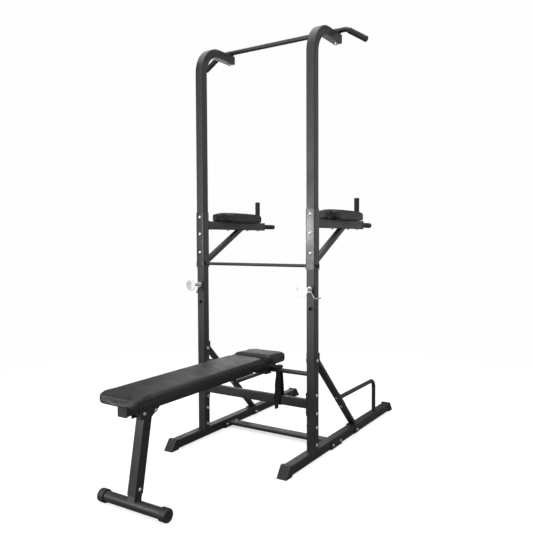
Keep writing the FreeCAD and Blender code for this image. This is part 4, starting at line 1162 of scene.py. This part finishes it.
def nut_axis(points):
    """A nut's centre, the direction from its washer to its far end, and its height."""
    directions = [X_AXIS, Y_AXIS, Z_AXIS]
    for degrees in range(0, 180, 3):
        angle = math.radians(degrees)
        directions.append(Vector((0, math.cos(angle), math.sin(angle))))
    height = math.inf
    for direction in directions:
        spans = [p.dot(direction) for p in points]
        if max(spans) - min(spans) < height - 1e-6:
            height = max(spans) - min(spans)
            axis = direction
    centre = sum(points, Vector((0, 0, 0))) / len(points)
    spans = [(p - centre).dot(axis) for p in points]
    middle = (max(spans) + min(spans)) / 2
    wide = [span for p, span in zip(points, spans) if (p - centre - axis * span).length > NUT_CORNER]
    if sum(wide) / len(wide) > middle:
        axis = -axis
        middle = -middle
    return centre + axis * middle, axis, height


def make_lock_rings():
    """The nylon ring in the outer end of every lock nut."""
    profile = [(0.0, 0.0052), (0.0, 0.0068), (0.0006, 0.0072), (0.0013, 0.0068), (0.0016, 0.0060),
               (0.0013, 0.0053)]
    for name, body in (("frame_nuts", "tower"), ("bench_nuts", "bench")):
        rings = Batch()
        for points in islands(frame["nodes"][name]):
            middle, axis, height = nut_axis(points)
            rings.add(*lathe_shape(middle + axis * (height / 2 - 0.0002), axis, profile, 24))
        rings.make(name + "_nylon", NYLON, body)


def make_undersides():
    """The cover's margin turned in under each board, with staples through it."""
    add_margin("bench", "bench", rounded_outline(bench_corners(0.016), 0.006), BOARD_LOW.z, 0.020)
    for side, _ in SIDES:
        low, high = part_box("arm_pad_" + side)
        board_low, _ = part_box("arm_pad_board_" + side)
        outline = rounded_outline(arm_pad_corners(low, high, 0.0095), 0.004)
        add_margin("arm_pad_" + side, "tower", outline, board_low.z, 0.010)


def add_margin(name, body, outline, z, width):
    """A thin turned-in ring of vinyl under a board, and the staples that hold it."""
    rings = []
    for index, (outer, inner) in enumerate(zip(outline, inset_outline(outline, width))):
        wave = 0.0012 * math.sin(index * 0.9) + 0.0008 * math.sin(index * 0.37)
        edge = inner + (inner - outer).normalized() * wave
        under = [(outer.x, outer.y, z - 0.0004), (edge.x, edge.y, z - 0.0004)]
        rings.append(under + [(edge.x, edge.y, z + 0.0001), (outer.x, outer.y, z + 0.0001)])
    vertices, faces = skin(rings, closed=True)
    piece(name + "_margin", vertices, faces, VINYL, body)
    staples = Batch()
    line = inset_outline(outline, width * 0.55)
    for index in range(0, len(line) - 2, 5):
        along = (line[index + 1] - line[index]).normalized()
        start = Vector((line[index].x, line[index].y, z - 0.0006))
        reach = Vector((along.x, along.y, 0)) * 0.010
        crown = start - Z_AXIS * 0.0004
        points = [start, crown + reach * 0.08, crown + reach * 0.92, start + reach]
        staples.add(*thread_shape(points, 0.0005, sides=6))
    staples.make(name + "_staples", ZINC, body)


# ---------------- stage and camera
def make_camera():
    """The camera stands to the front right, a little above hand height."""
    azimuth = math.radians(32.43)
    pitch = math.radians(2.58)
    roll = math.radians(0.25)
    ahead = Vector((-math.sin(azimuth), math.cos(azimuth), 0))
    forward = ahead * math.cos(pitch) - Z_AXIS * math.sin(pitch)
    level = Vector((math.cos(azimuth), math.sin(azimuth), 0))
    down = forward.cross(level)
    right = level * math.cos(roll) + down * math.sin(roll)
    up = (right.cross(forward)).normalized()
    data = bpy.data.cameras.new("camera")
    data.sensor_width = 36.0
    data.lens = 40.14
    data.clip_end = 100.0
    camera = bpy.data.objects.new("camera", data)
    bpy.context.scene.collection.objects.link(camera)
    turn = Matrix((right, up, -forward)).transposed().to_4x4()
    place = Vector((1.8801, POST_LINE_Y - 2.8313, 1.1980))
    camera.matrix_world = Matrix.Translation(place) @ turn
    bpy.context.scene.camera = camera


def area_light(name, place, target, size, power):
    data = bpy.data.lights.new(name, "AREA")
    data.shape = "RECTANGLE"
    data.size = size[0]
    data.size_y = size[1]
    data.energy = power
    light = bpy.data.objects.new(name, data)
    bpy.context.scene.collection.objects.link(light)
    light.visible_camera = False
    light.location = place
    light.rotation_euler = (Vector(target) - Vector(place)).to_track_quat("-Z", "Y").to_euler()


FLOOR_HALF = 30.0
ROOM_LIGHT = 0.12           # the world's strength as a light, and as the backdrop that the camera sees
BACKDROP = 0.99


def make_floor():
    half = FLOOR_HALF
    mesh = bpy.data.meshes.new("floor")
    corners = [(-half, -half, 0), (half, -half, 0), (half, half, 0), (-half, half, 0)]
    mesh.from_pydata(corners, [], [(0, 1, 2, 3)])
    mesh.materials.append(make_floor_material())
    floor = bpy.data.objects.new("floor", mesh)
    bpy.context.scene.collection.objects.link(floor)


def make_world():
    """A white backdrop for the camera, and a weak even light for everything else."""
    world = bpy.data.worlds.new("studio")
    world.use_nodes = True
    tree = world.node_tree
    sky = tree.nodes["Background"]
    backdrop = tree.nodes.new("ShaderNodeLightPath").outputs["Is Camera Ray"]
    strength = tree.nodes.new("ShaderNodeMapRange")
    tree.links.new(backdrop, strength.inputs["Value"])
    strength.inputs["To Min"].default_value = ROOM_LIGHT
    strength.inputs["To Max"].default_value = BACKDROP
    tree.links.new(strength.outputs["Result"], sky.inputs["Strength"])
    sky.inputs["Color"].default_value = (1.0, 1.0, 1.0, 1)
    bpy.context.scene.world = world
    bpy.context.scene.view_settings.view_transform = "Standard"


def make_lamps():
    """A soft box overhead, one in front and one at the right, a card that picks out the sleeve, and
    two weak ones behind."""
    area_light("ceiling", (0, 0, 5.2), (0, 0, 0), (7.0, 7.0), 322)
    area_light("key", (-0.9, -5.0, 2.2), (0, 0, 1.2), (4.6, 3.4), 128)
    area_light("fill", (4.8, -1.6, 2.4), (0, 0, 1.2), (2.4, 2.4), 45)
    area_light("sleeve_card", (-1.25, -2.95, 1.24), (POST_X, POST_LINE_Y, 1.22), (0.9, 0.56), 32)
    area_light("rear_right", (3.3, 4.6, 2.7), (0.2, 0, 1.5), (3.2, 3.0), 26)
    area_light("rear_left", (-2.6, 3.7, 1.7), (0, -0.3, 0.6), (2.0, 1.2), 17)


dress_cad_nodes()
make_camera()
make_floor()
make_world()
make_lamps()
make_strap(make_cushions())
make_lashing_loop()
make_lashing_tail()
make_buckle()
make_grips()
make_tower_welds()
make_rest_welds()
make_bench_welds()
make_lock_rings()
make_undersides()
